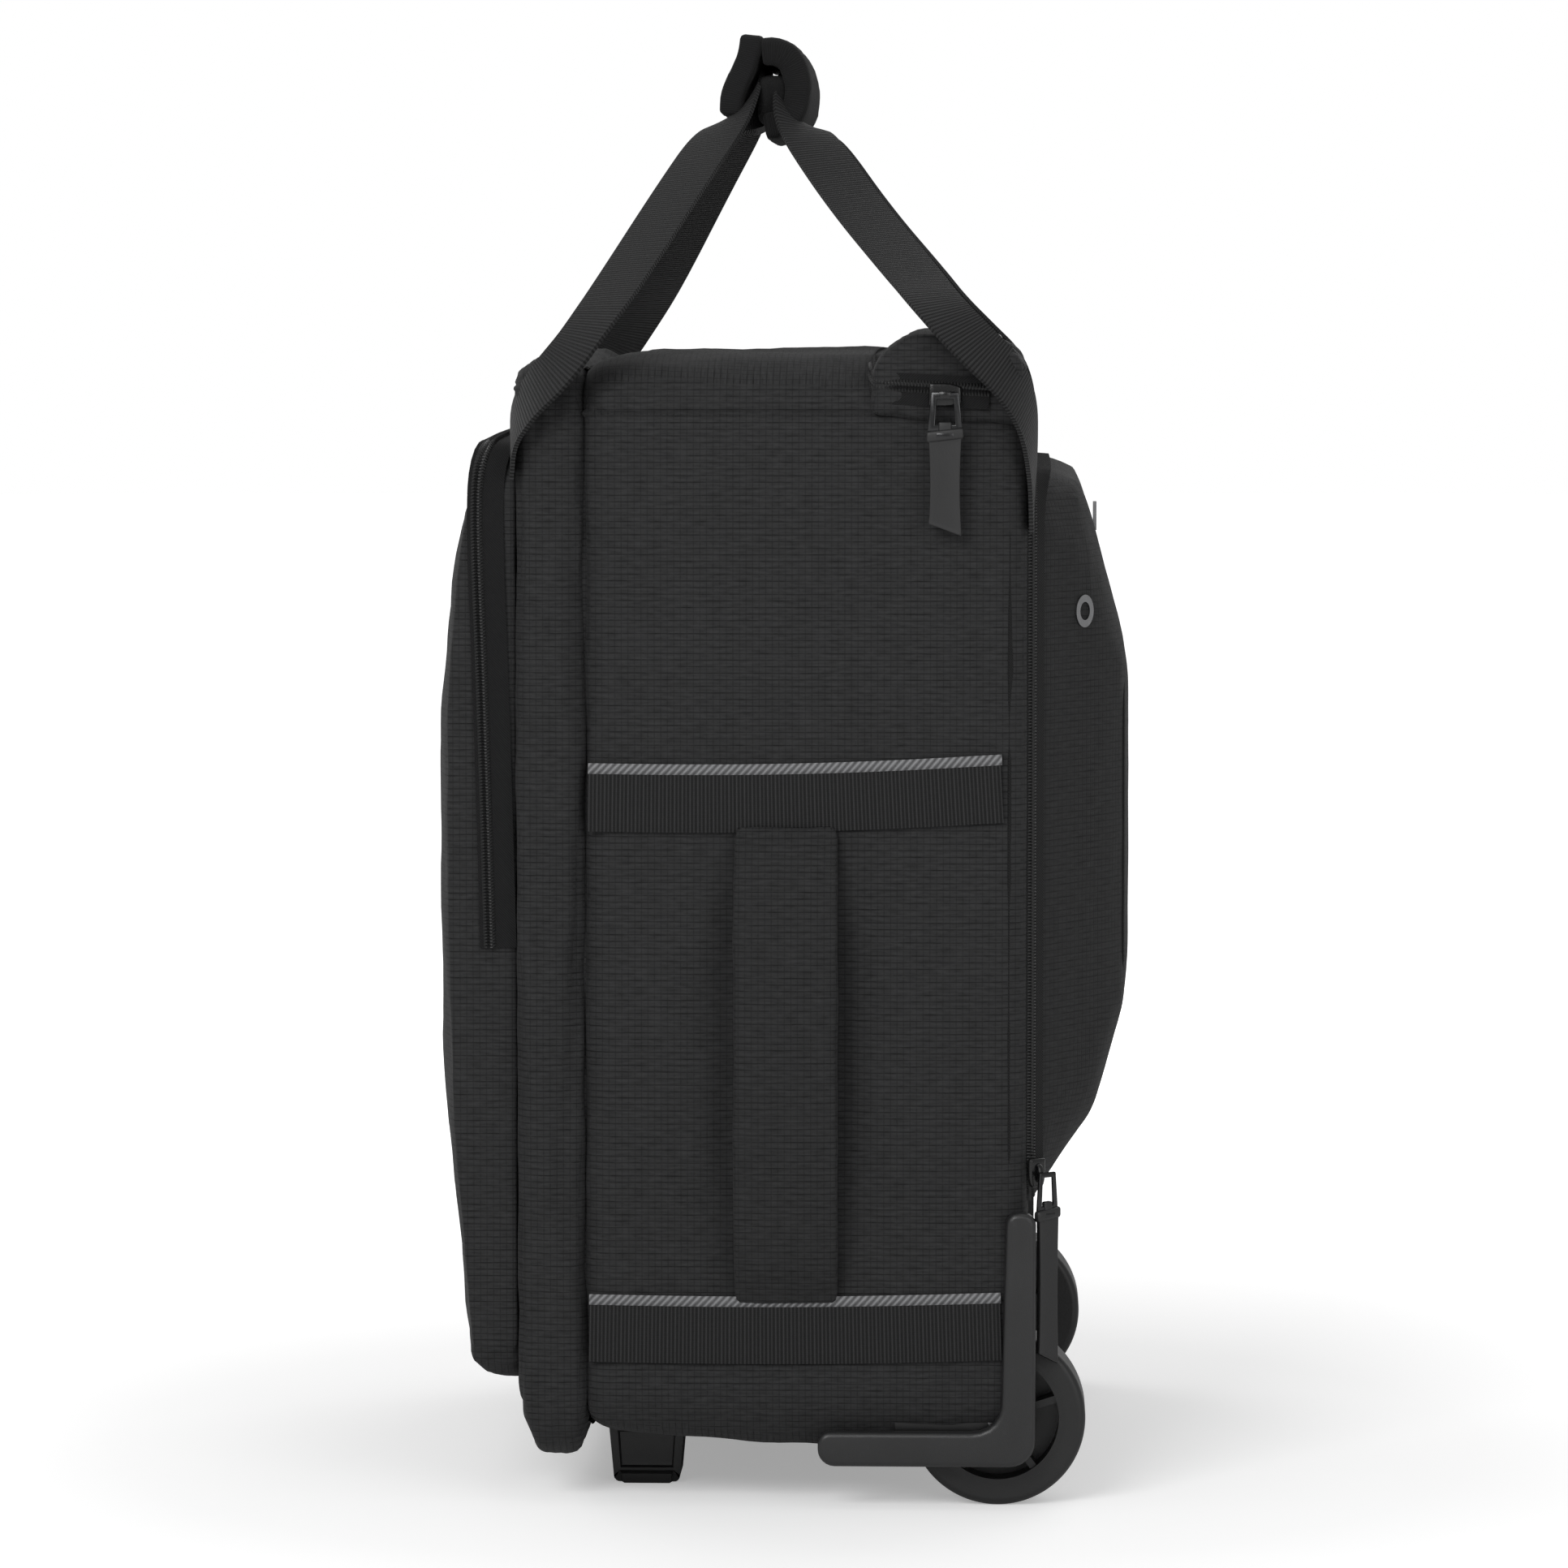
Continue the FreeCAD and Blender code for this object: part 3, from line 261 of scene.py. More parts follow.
SHELL = ripstop("shell_ripstop", 37)
FLAP_CLOTH = ripstop("flap_ripstop", 33)
HANDLE_CLOTH = ripstop("handle_ripstop", 35)


# %% Plain cloths
def plain_cloth(name, level, pitch, depth, gloss=0.85):
    """A tight weave without a grid, for linings, twill tape and binding."""
    cloth = Finish(name, grey(level), gloss, Specular_IOR_Level=0.18, Sheen_Weight=0.04)
    across, along, _ = cloth.axes("UV")
    twill = ((across + along) / pitch).wave()
    dye = cloth.mottle(120, 3.0)
    tone = twill * 0.45 + dye * 0.55
    dark, light = [tuple(c * gain for c in grey(level)) for gain in (0.6, 1.5)]
    cloth.set("Base Color", cloth.between(tone, dark, light))
    cloth.set("Roughness", dye * 0.14 + (gloss - 0.07))
    cloth.bump(twill * 0.7 + dye * 0.3, depth)
    return cloth.material


LINING = plain_cloth("lining_cloth", 52, 0.8 * MM, 0.12 * MM)
TWILL = plain_cloth("twill_tape", 27, 1.1 * MM, 0.3 * MM)
GRIP_CLOTH = plain_cloth("grip_cloth", 26, 0.9 * MM, 0.25 * MM)


# %% Webbing
def webbing_finish(name, level, rib, depth=0.5 * MM):
    """Round ribs straight across the strap, every second one a little lighter; the colour runs from near black in the
    gaps to light on the ridges, which is painted shade and painted highlight.
    """
    belt = Finish(name, grey(level), 0.62, Specular_IOR_Level=0.25, Sheen_Weight=0.03)
    across, along, _ = belt.axes("UV")
    ribs = (along / rib).wave()
    second = (along / (2 * rib)).wave()
    yarn = (across / (0.9 * MM)).wave()
    fuzz = belt.mottle(1400, 2.0)
    # The rib wave paints shade into the gaps between ribs and a highlight on their ridges, from nearly black to three
    # times the yarn's grey; the lighter second rib is part of the weave.
    tone = ribs * 0.6 + ribs * second * 0.25 + yarn * 0.05 + fuzz * 0.1
    dark, light = [tuple(c * gain for c in grey(level)) for gain in (0.04, 3.0)]
    belt.set("Base Color", belt.between(tone, dark, light))
    belt.set("Roughness", fuzz * 0.2 + 0.52)
    belt.bump(ribs * 0.7 + yarn * 0.1 + fuzz * 0.2, depth)
    return belt.material


# All three webbings carry the painted rib shade and painted rib highlight.
WEBBING = webbing_finish("strap_webbing", 27, 1.5 * MM)
BAND = webbing_finish("band_webbing", 27, 1.6 * MM, 0.6 * MM)
BINDING = webbing_finish("binding_tape", 22, 1.5 * MM)


# %% Twisted edging
def edging_finish():
    """A light grey cord of two strands that show as slanting stitches."""
    cord = Finish("grey_edging", grey(122), 0.8, Specular_IOR_Level=0.25)
    across, along, _ = cord.axes("UV")
    strand = ((along + across * 0.9) / (3.0 * MM)).wave()
    fuzz = cord.mottle(1500, 2.0)
    tone = strand * 0.7 + fuzz * 0.3
    cord.set("Base Color", cord.between(tone, grey(60), grey(150)))
    cord.set("Roughness", fuzz * 0.1 + 0.75)
    cord.bump(strand, 0.5 * MM)
    return cord.material


EDGING = edging_finish()


# %% [markdown]
# ## Plastics, rubber and metal
#
# Moulded pieces need a fine grain, a little unevenness in their gloss and duller scuffs scattered
# over them. Metal is smoother, with the faint streaks of polishing.

# %% Moulded and metal finishes
def moulded(name, level, roughness, grain=2600, depth=0.05 * MM, **fixed):
    part = Finish(name, grey(level), roughness, **fixed)
    fine, broad = part.mottle(grain, 2.0), part.mottle(45, 4.0)
    scuff = part.mottle(300, 5.0).above(0.66, 0.05)
    dark, light = [tuple(c * gain for c in grey(level)) for gain in (0.8, 1.3)]
    part.set("Base Color", part.between(broad * 0.6 + fine * 0.2 + scuff * 0.2, dark, light))
    part.set("Roughness", broad * 0.12 + scuff * 0.1 + (roughness - 0.08))
    part.bump(fine, depth)
    return part.material


def metal(name, level, roughness, stretch=(1, 1, 1)):
    part = Finish(name, grey(level), roughness, Metallic=1.0)
    streak = part.mottle(400, 3.0, stretch=stretch)
    dark, light = [tuple(c * gain for c in grey(level)) for gain in (0.85, 1.1)]
    part.set("Base Color", part.between(streak, dark, light))
    part.set("Roughness", streak * 0.14 + (roughness - 0.07))
    part.bump(streak, 0.01 * MM)
    return part.material


GUARD = moulded("guard_plastic", 37, 0.36, 3200, 0.06 * MM)
HUB = moulded("hub_plastic", 24, 0.34)
TYRE = moulded("tyre_rubber", 26, 0.48, 1800, 0.04 * MM)
FOOT = moulded("foot_plastic", 24, 0.36)
GRIP_PLASTIC = moulded("grip_plastic", 36, 0.4)
BUTTON = moulded("button_plastic", 70, 0.35)
BOARD = moulded("base_board_plastic", 58, 0.6, 900, 0.1 * MM)
PULL_RUBBER = moulded("pull_rubber", 33, 0.5, 2400, 0.04 * MM)
PATCH = moulded("patch_rubber", 34, 0.55, 1500, 0.05 * MM)
COIL = moulded("zip_coil_nylon", 24, 0.38)
SLIDER_PAINT = moulded("slider_paint", 20, 0.22)
TUBE = metal("tube_aluminium", 190, 0.32, (30, 30, 1))
STEEL = metal("axle_steel", 165, 0.3)
NICKEL = metal("nickel_plate", 175, 0.2)
GUNMETAL = metal("gunmetal_link", 68, 0.25)

# %% [markdown]
# ## Finishes on the frame's own pieces
#
# A hard piece whose shape is right keeps its mesh and only gets a finish. The names of the nodes
# say what they are made of.

# %% Give the frame its finishes
HARD = {
    "tyre": TYRE, "hub": HUB, "bearings": STEEL, "axles": STEEL, "wheel_housing": HUB,
    "corner_guard": GUARD, "foot": FOOT, "foot_screws": STEEL, "tube_feet": HUB, "outer_tube": TUBE,
    "middle_tube": TUBE, "inner_tube": TUBE, "handle_tray": HUB, "trolley_grip": GRIP_PLASTIC,
    "release_button": BUTTON, "push_rods": STEEL, "base_board": BOARD, "padded_backboard": LINING,
    "eyelets": NICKEL, "panel_puller": NICKEL,
}


def dress(node, finish):
    node.data.materials.clear()
    node.data.materials.append(finish)


for name, node in nodes.items():
    match = [word for word in HARD if name.startswith(word)]
    dress(node, HARD[max(match, key=len)] if match else SHELL)

# %% [markdown]
# ## The floor and what surrounds it
#
# A plain sheet of pale paper lies under the wheels. It gives off a little light of its own, to the
# camera alone, so that it meets the white surroundings without a visible edge.

# %% Floor and surroundings
def pale_floor():
    """White cloth-less paper: plain to the lamps, and a little brighter to the camera."""
    paper = Finish("floor_paper", (0.86, 0.86, 0.86), 0.9, Specular_IOR_Level=0.1, Emission_Strength=1.0)
    seen = paper.node("ShaderNodeLightPath", out="Is Camera Ray")
    away = paper.node("ShaderNodeVectorMath", {"operation": "LENGTH"}, {0: paper.place()}, out=1)
    far = paper.node("ShaderNodeMapRange", {}, {0: away, 1: 0.3, 2: 1.2, 3: 0.34, 4: 0.9})
    paper.set("Emission Color", paper.between(seen * far, (0, 0, 0), (1, 1, 1)))
    bpy.ops.mesh.primitive_circle_add(vertices=96, radius=14, fill_type="NGON")
    floor = bpy.context.object
    floor.name = "floor"
    floor.data.materials.append(paper.material)


def surroundings():
    """Even white light; the camera and mirrors see it as full white."""
    world = bpy.data.worlds.new("studio") if not bpy.context.scene.world else bpy.context.scene.world
    bpy.context.scene.world = world
    world.use_nodes = True
    tree = world.node_tree
    light = tree.nodes["Background"]
    light.inputs["Color"].default_value = (1, 1, 1, 1)
    light.inputs["Strength"].default_value = 0.38
    seen = tree.nodes.new("ShaderNodeBackground")
    seen.inputs["Color"].default_value = (1, 1, 1, 1)
    path, either, mix = [tree.nodes.new("ShaderNode" + kind) for kind in ("LightPath", "Math", "MixShader")]
    either.operation = "MAXIMUM"
    tree.links.new(path.outputs["Is Camera Ray"], either.inputs[0])
    tree.links.new(path.outputs["Is Transmission Ray"], either.inputs[1])
    tree.links.new(either.outputs[0], mix.inputs[0])
    tree.links.new(light.outputs[0], mix.inputs[1])
    tree.links.new(seen.outputs[0], mix.inputs[2])
    tree.links.new(mix.outputs[0], tree.nodes["World Output"].inputs["Surface"])


pale_floor()
surroundings()

# %% [markdown]
# ## Tools for sewing
#
# Every new piece starts as a primitive at its own place. Faces and edges are picked in code, by
# where they are, and then shaped with the same operators that one would use by hand. `shape` moves
# points one by one where a curve is easier to say as a formula.


# %% Starting and picking
def laid_down(name):
    """Names the new primitive, and puts its place into its mesh."""
    made = bpy.context.object
    made.name = made.data.name = name
    bpy.ops.object.transform_apply(location=True, rotation=True, scale=True)
    return made


def block(name, low, high):
    low, high = Vector(low), Vector(high)
    bpy.ops.object.select_all(action="DESELECT")
    bpy.ops.mesh.primitive_cube_add(size=1, location=(low + high) / 2, scale=high - low)
    return laid_down(name)


def edit(piece, on=True):
    bpy.context.view_layer.objects.active = piece
    bpy.ops.object.mode_set(mode="EDIT" if on else "OBJECT")


def choose(piece, kind, test):
    """In edit mode, selects each vertex, edge or face whose corners all pass the test."""
    edit(piece)
    bpy.ops.mesh.select_mode(type=kind)
    bpy.ops.mesh.select_all(action="DESELECT")
    mesh = bmesh.from_edit_mesh(piece.data)
    for part in {"VERT": mesh.verts, "EDGE": mesh.edges, "FACE": mesh.faces}[kind]:
        corners = [part.co] if kind == "VERT" else [v.co for v in part.verts]
        if all(test(corner) for corner in corners):
            part.select_set(True)
    bmesh.update_edit_mesh(piece.data)


def close(one, other):
    return abs(one - other) < 0.01 * MM


def round_edges(piece, radius, steps, test):
    """Bevels the edges whose two ends pass the test."""
    choose(piece, "EDGE", test)
    bpy.ops.mesh.bevel(offset=radius, segments=steps, affect="EDGES", clamp_overlap=True)
    edit(piece, False)


def round_along_y(piece, radius, steps):
    """Bevels the four long edges that run from front to back."""
    edit(piece)
    bpy.ops.mesh.select_mode(type="EDGE")
    bpy.ops.mesh.select_all(action="DESELECT")
    mesh = bmesh.from_edit_mesh(piece.data)
    for edge in mesh.edges:
        run = edge.verts[0].co - edge.verts[1].co
        edge.select_set(abs(run.y) > 0.9 * run.length)
    bmesh.update_edit_mesh(piece.data)
    bpy.ops.mesh.bevel(offset=radius, segments=steps, affect="EDGES")
    edit(piece, False)


def slices(piece, axis, low, high, step, extra=()):
    """Cuts across the mesh in even steps, and at the extra places, so that it has points to move."""
    count = max(1, round((high - low) / step))
    normal = [float(axis == n) for n in range(3)]
    edit(piece)
    mesh = bmesh.from_edit_mesh(piece.data)
    for place in [low + (high - low) * n / count for n in range(1, count)] + list(extra):
        whole = mesh.verts[:] + mesh.edges[:] + mesh.faces[:]
        bmesh.ops.bisect_plane(mesh, geom=whole, plane_co=[place * n for n in normal], plane_no=normal)
    bmesh.update_edit_mesh(piece.data)
    edit(piece, False)


def open_side(piece, test):
    """Takes away the faces that pass the test."""
    choose(piece, "FACE", test)
    bpy.ops.mesh.delete(type="FACE")
    edit(piece, False)


def shape(piece, move):
    """Moves each point to where the function of its place and normal says."""
    points = [(vertex.co.copy(), vertex.normal.copy()) for vertex in piece.data.vertices]
    moved = [number for place, normal in points for number in move(place, normal)]
    piece.data.vertices.foreach_set("co", moved)
    piece.data.update()


def apply(piece, kind, **settings):
    """Adds a modifier with these settings and applies it."""
    bpy.ops.object.select_all(action="DESELECT")
    piece.select_set(True)
    bpy.context.view_layer.objects.active = piece
    modifier = piece.modifiers.new(kind.lower(), kind)
    for name, value in settings.items():
        setattr(modifier, name, value)
    bpy.ops.object.modifier_apply(modifier=modifier.name)


# %% Finishing
def box_uv(piece):
    """Lays the cloth's pattern on each face from the side that the face looks to, in metres."""
    layer = piece.data.uv_layers.active or piece.data.uv_layers.new(name="UVMap")
    for face in piece.data.polygons:
        size = [abs(n) for n in face.normal]
        main = size.index(max(size))
        first, second = [axis for axis in range(3) if axis != main]
        for loop in face.loop_indices:
            place = piece.data.vertices[piece.data.loops[loop].vertex_index].co
            layer.data[loop].uv = (place[first], place[second])


def dressed(piece, *finishes, angle=50):
    """Gives the finishes and smooth faces."""
    piece.data.materials.clear()
    for finish in finishes:
        piece.data.materials.append(finish)
    bpy.ops.object.select_all(action="DESELECT")
    piece.select_set(True)
    bpy.context.view_layer.objects.active = piece
    bpy.ops.object.shade_smooth_by_angle(angle=math.radians(angle))
    return piece


def belongs(piece, body, slot, *stands_for):
    """Rides on a body and stands for nodes of the frame, which it hides; the slot is not used."""
    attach(piece, body)
    if stands_for:
        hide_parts(*stands_for)
    return piece


# %% [markdown]
# ## Swelling a piece as cloth
#
# Sewn panels are held at their seams and puff out a little between them. A short cloth run with
# air pressure inside and no gravity gives that shape; how far a point may go is then capped, so
# that the piece keeps its size. Loose folds are smooth noise along the normals.


# %% Cloth run
def swell(piece, held, pressure, cap, steps=14):
    """Blows the piece up as cloth, with the points that pass the test held where they are sewn."""
    rest = [vertex.co.copy() for vertex in piece.data.vertices]
    sewn = piece.vertex_groups.new(name="sewn")
    sewn.add([n for n, place in enumerate(rest) if held(place)], 1.0, "REPLACE")
    cloth = piece.modifiers.new("swell", "CLOTH")
    cloth.settings.vertex_group_mass = "sewn"
    cloth.settings.use_pressure = True
    cloth.settings.uniform_pressure_force = pressure
    cloth.settings.effector_weights.gravity = 0
    cloth.settings.quality = 4
    for moment in range(1, steps + 1):
        bpy.context.scene.frame_set(moment)
    bpy.ops.object.select_all(action="DESELECT")
    piece.select_set(True)
    bpy.context.view_layer.objects.active = piece
    bpy.ops.object.modifier_apply(modifier="swell")
    bpy.context.scene.frame_set(1)
    piece.vertex_groups.clear()
    widest = 0
    for vertex, start in zip(piece.data.vertices, rest):
        moved = vertex.co - start
        widest = max(widest, moved.length)
        if moved.length > cap:
            vertex.co = start + moved * (cap / moved.length)
    print(piece.name, "swelled up to", round(widest / MM, 1), "mm, kept to", round(cap / MM, 1))


def folds(piece, depth, size, stretch=(1, 1, 1), seed=0.0, where=None):
    """Soft uneven folds: depth is how far they stand out, and size how wide they are."""
    def move(place, normal):
        spot = Vector([place[n] / (size * stretch[n]) + seed for n in range(3)])
        share = 1.0 if where is None else where(place)
        return place + normal * depth * share * noise.fractal(spot, 0.6, 2.0, 3)
    shape(piece, move)


# %% [markdown]
# ## Ribbons
#
# Webbing, tape, binding, edging and zip coil are all ribbons: a flat strip laid along a route, with
# a direction that it faces at each stop. The strip starts as a grid whose rows are moved onto the
# route, so its pattern keeps its true pitch in metres across and along.


# %% Ribbon
def follow(stops, step, rounds=4):
    """A smooth route near the stops, each a place and a facing, as evenly spaced points."""
    line = [(Vector(place), Vector(facing)) for place, facing in stops]
    for _ in range(rounds):
        cut = [line[0]]
        for (a, face_a), (b, face_b) in zip(line, line[1:]):
            cut += [(a.lerp(b, share), face_a.lerp(face_b, share)) for share in (0.25, 0.75)]
        line = cut + [line[-1]]
    far = [0.0]
    for (a, _), (b, _) in zip(line, line[1:]):
        far.append(far[-1] + (b - a).length)
    count, route, at = max(2, round(far[-1] / step)), [], 0
    for n in range(count + 1):
        goal = far[-1] * n / count
        while at < len(far) - 2 and far[at + 1] < goal:
            at += 1
        share = (goal - far[at]) / max(far[at + 1] - far[at], 1e-9)
        route.append([one.lerp(other, share) for one, other in zip(line[at], line[at + 1])])
    return route, far[-1]


def ribbon(name, stops, width, thick, finish, step=4 * MM, columns=4, rise=None, rounds=4):
    """A strip along the stops; rise(across, along) lifts its face, across going from -1 to 1."""
    route, length = follow(stops, step, rounds)
    rows = len(route) - 1
    bpy.ops.object.select_all(action="DESELECT")
    bpy.ops.mesh.primitive_grid_add(x_subdivisions=columns, y_subdivisions=rows, size=1)
    strip = laid_down(name)
    flat = [(v.co.x + 0.5, v.co.y + 0.5) for v in strip.data.vertices]
    for vertex, (across, along) in zip(strip.data.vertices, flat):
        row = round(along * rows)
        place, facing = route[row]
        run = (route[min(row + 1, rows)][0] - route[max(row - 1, 0)][0]).normalized()
        side = run.cross(facing).normalized()
        lift = rise(2 * across - 1, along * length) if rise else 0.0
        vertex.co = place + side * (across - 0.5) * width + side.cross(run).normalized() * lift
    layer = strip.data.uv_layers.active
    for loop in strip.data.loops:
        across, along = flat[loop.vertex_index]
        layer.data[loop.index].uv = (across * width, along * length)
    if thick:
        apply(strip, "SOLIDIFY", thickness=thick, offset=-1)
    return dressed(strip, finish)


def coil(name, stops, width=5.2 * MM, pitch=1.3 * MM, finish=None):
    """A nylon zip coil: two rows of rounded turns that meet in the middle."""
    def turns(across, along):
        turn = 0.5 + 0.5 * math.sin(2 * math.pi * (along / pitch + (0.5 if across > 0 else 0)))
        return (1.1 * turn + 0.5) * MM * math.sqrt(max(0.0, 1 - across * across)) * (0.4 if across == 0 else 1)
    return ribbon(name, stops, width, 0, finish or COIL, pitch / 4, 6, turns)


def crowned(height):
    return lambda across, along: height * math.sqrt(max(0.0, 1 - across * across))

# %% [markdown]
# ## The main compartment
#
# The body of the bag is one lofted shell: rounded along its long edges, open to the front where the
# lid closes it, with a sewn seam where the sides meet the top. It is made from a block, cut into
# rows of faces, swollen between its seams as cloth, and then given a wall with a lining inside.

# %% Main shell
ROWS = 12 * MM
WALL = 3 * MM
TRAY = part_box("handle_tray")
BAND_ROWS = [(0.0605, 0.090), (0.2800, 0.3120)]


def rolled(distance, reach, depth):
    """How far an edge turns in, as a quarter round that starts at this distance from it."""
    share = min(1.0, max(0.0, 1 - distance / reach))
    return depth * (1 - math.sqrt(1 - share * share))


def cut_away(piece, low, high):
    """Takes a block of room out of a piece."""
    room = block("room", low, high)
    cutter = piece.modifiers.new("room", "BOOLEAN")
    cutter.operation, cutter.object = "DIFFERENCE", room
    bpy.context.view_layer.objects.active = piece
    bpy.ops.object.modifier_apply(modifier="room")
    bpy.data.objects.remove(room)


def main_shell():
    shell = block("main_shell", (-HALF, FRONT, BASE), (HALF, BACK, TOP))
    round_along_y(shell, CORNER, 5)
    round_edges(shell, 8.5 * MM, 3, lambda c: close(c.y, BACK))
    open_side(shell, lambda c: close(c.y, FRONT))
    slices(shell, 0, -HALF, HALF, ROWS)
    slices(shell, 1, FRONT, BACK, ROWS, (FRONT + 2 * MM, FRONT + 5 * MM, BACK - 12 * MM))
    seam = [TOP_SEAM + step * MM for step in (-2.5, -0.8, 0.8, 2.5)]
    grab_low, grab_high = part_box("side_handle_right")
    grab_middle, grab_half = (grab_low.y + grab_high.y) / 2, (grab_high.y - grab_low.y) / 2
    slices(shell, 2, BASE, TOP, ROWS, seam)

    def held(place):
        banded = any(low <= place.z <= high for low, high in BAND_ROWS) and abs(place.x) > HALF - 6 * MM
        seamed = abs(place.z - TOP_SEAM) < 3 * MM or place.y < FRONT + 3 * MM or place.y > BACK - 0.5 * MM
        return banded or seamed or place.z < BASE + 0.5 * MM

    swell(shell, held, 1.5, 3.0 * MM)
    apply(shell, "SUBSURF", levels=1, render_levels=1)

    def sewn(place, normal):
        inward = Vector((normal.x, 0, normal.z))
        turn = rolled(place.y - FRONT, 13 * MM, 8 * MM)
        groove = 1.6 * MM * math.exp(-((place.z - TOP_SEAM) / (1.1 * MM)) ** 2) * (abs(place.x) > HALF - 8 * MM)
        sag = 3 * MM * (place.y - FRONT) / (BACK - FRONT) * (place.z < BASE + 8 * MM)
        rise = 3 * MM * max(0.0, 1 - (place.y - FRONT) / (60 * MM)) * (place.z < BASE + 8 * MM)
        height = min(1.0, max(0.0, (place.z - grab_low.z - 26 * MM) / (grab_high.z - grab_low.z - 52 * MM)))
        beside = (abs(place.y - grab_middle) - grab_half - 2 * MM) / (8 * MM)
        dip = 4 * MM * math.sin(math.pi * height) ** 0.5 * math.exp(-beside ** 2) * (abs(place.x) > HALF - 8 * MM)
        return place - inward * (turn + groove + dip) + Vector((0, 0, rise - sag))

    shape(shell, sewn)

    def loose(place):
        banded = any(low <= place.z <= high for low, high in BAND_ROWS)
        return 0.15 if banded or place.y > BACK - 2 * MM else 1.0

    folds(shell, 1.1 * MM, 55 * MM, (1, 1, 1.8), 3.1, loose)
    folds(shell, 0.35 * MM, 14 * MM, (1, 1, 2.0), 8.4, loose)
    apply(shell, "SOLIDIFY", thickness=WALL, offset=-1, material_offset=1, material_offset_rim=0)
    box_uv(shell)
    dressed(shell, SHELL, LINING, angle=60)
    low, high = TRAY
    cut_away(shell, (low.x + 1 * MM, low.y + 1 * MM, low.z + 1 * MM), (high.x - 1 * MM, BACK + 9 * MM, TOP + 9 * MM))
    belongs(shell, "carcass", "shell_cloth", "side_panel_right", "side_panel_left", "top_panel",
            "base_panel", "back_panel")
    return shell


main_shell()


# %% [markdown]
# ## The lid
#
# The front section opens like the cover of a book. It is a shallow tray of the same cloth, soft at
# its corners, that hangs a little lower than the body and turns in where the seam pulls it.

# %% Lid tray
LID_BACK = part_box("lid_gusset")[1].y


def lid_tray():
    tray = block("lid_tray", (-HALF, LID_FRONT, BASE), (HALF, LID_BACK, TOP))
    round_along_y(tray, CORNER * 1.2, 5)
    round_edges(tray, 9 * MM, 4, lambda c: close(c.y, LID_FRONT))
    open_side(tray, lambda c: close(c.y, LID_BACK))
    slices(tray, 0, -HALF, HALF, ROWS)
    slices(tray, 1, LID_FRONT, LID_BACK, 5 * MM, (LID_BACK - 2 * MM,))
    slices(tray, 2, BASE, TOP, ROWS)
    swell(tray, lambda c: c.y > LID_BACK - 3 * MM or c.y < LID_FRONT + 0.5 * MM, 1.5, 3.0 * MM)
    apply(tray, "SUBSURF", levels=1, render_levels=1)
    depth = LID_BACK - LID_FRONT

    def sewn(place, normal):
        inward = Vector((normal.x, 0, normal.z))
        turn = rolled(LID_BACK - place.y, 11 * MM, 8 * MM)
        middle = min(1.0, 2.4 * math.sin(math.pi * min(1.0, max(0.0, (place.y - LID_FRONT) / depth))))
        low = max(0.0, 1 - (place.z - BASE) / (30 * MM))
        hang = 8 * MM * middle * low
        tuck = 6 * MM * low ** 2 * max(0.0, 1 - (place.y - LID_FRONT) / (14 * MM))
        crease = 1.5 * MM * math.exp(-((place.y - LID_FRONT - 0.35 * depth) / (2.5 * MM)) ** 2)
        crease *= abs(place.x) > HALF - 9 * MM and 0.4 + 0.6 * noise.noise(Vector((0, 0, place.z * 9)))
        return place - inward * (turn + crease) + Vector((0, tuck, -hang))

    def loose(place):
        return 0.25 if place.y < LID_FRONT + 1 * MM or place.z < BASE + 4 * MM else 1.0

    shape(tray, sewn)
    folds(tray, 2.4 * MM, 26 * MM, (1, 0.5, 4.0), 1.7, loose)
    folds(tray, 0.4 * MM, 12 * MM, (1, 1, 2.5), 5.2)
    apply(tray, "SOLIDIFY", thickness=WALL, offset=-1, material_offset=1, material_offset_rim=0)
    box_uv(tray)
    dressed(tray, SHELL, LINING, angle=60)
    return belongs(tray, "front_lid", "shell_cloth", "lid_front_panel", "lid_gusset")


lid_tray()


# %% [markdown]
# ## The front pocket
#
# The pocket bellies out: deepest a little above its middle, drawn in at its foot and its shoulder.
# The outline of its face is a few points eased into a curve, and the face is swollen between its
# seams. Its side wall carries the zip, so that stays flat.

# %% Pocket block
BELLY = ((0.000, 0.20), (0.012, 0.62), (0.035, 0.70), (0.11, 0.76), (0.27, 0.93), (0.50, 1.0), (0.72, 1.0),
         (0.86, 0.86), (0.92, 0.76), (0.96, 0.60), (0.985, 0.42), (1.000, 0.16))


def eased(points, at):
    """Reads a smooth curve through the points."""
    for (x0, y0), (x1, y1) in zip(points, points[1:]):
        if at <= x1:
            share = max(0.0, min(1.0, (at - x0) / (x1 - x0)))
            return y0 + (y1 - y0) * share
    return points[-1][1]


POCKET_BACK = POCKET[1].y
POCKET_DEPTH = POCKET_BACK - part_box("pocket_patch")[0].y


def belly_at(z):
    """How far the pocket's face stands forward of the lid at this height."""
    share = (z - POCKET[0].z) / (POCKET[1].z - POCKET[0].z)
    near = [eased(BELLY, share + step * 0.012) for step in (-1, 0, 1)]
    return POCKET_DEPTH * sum(near) / 3


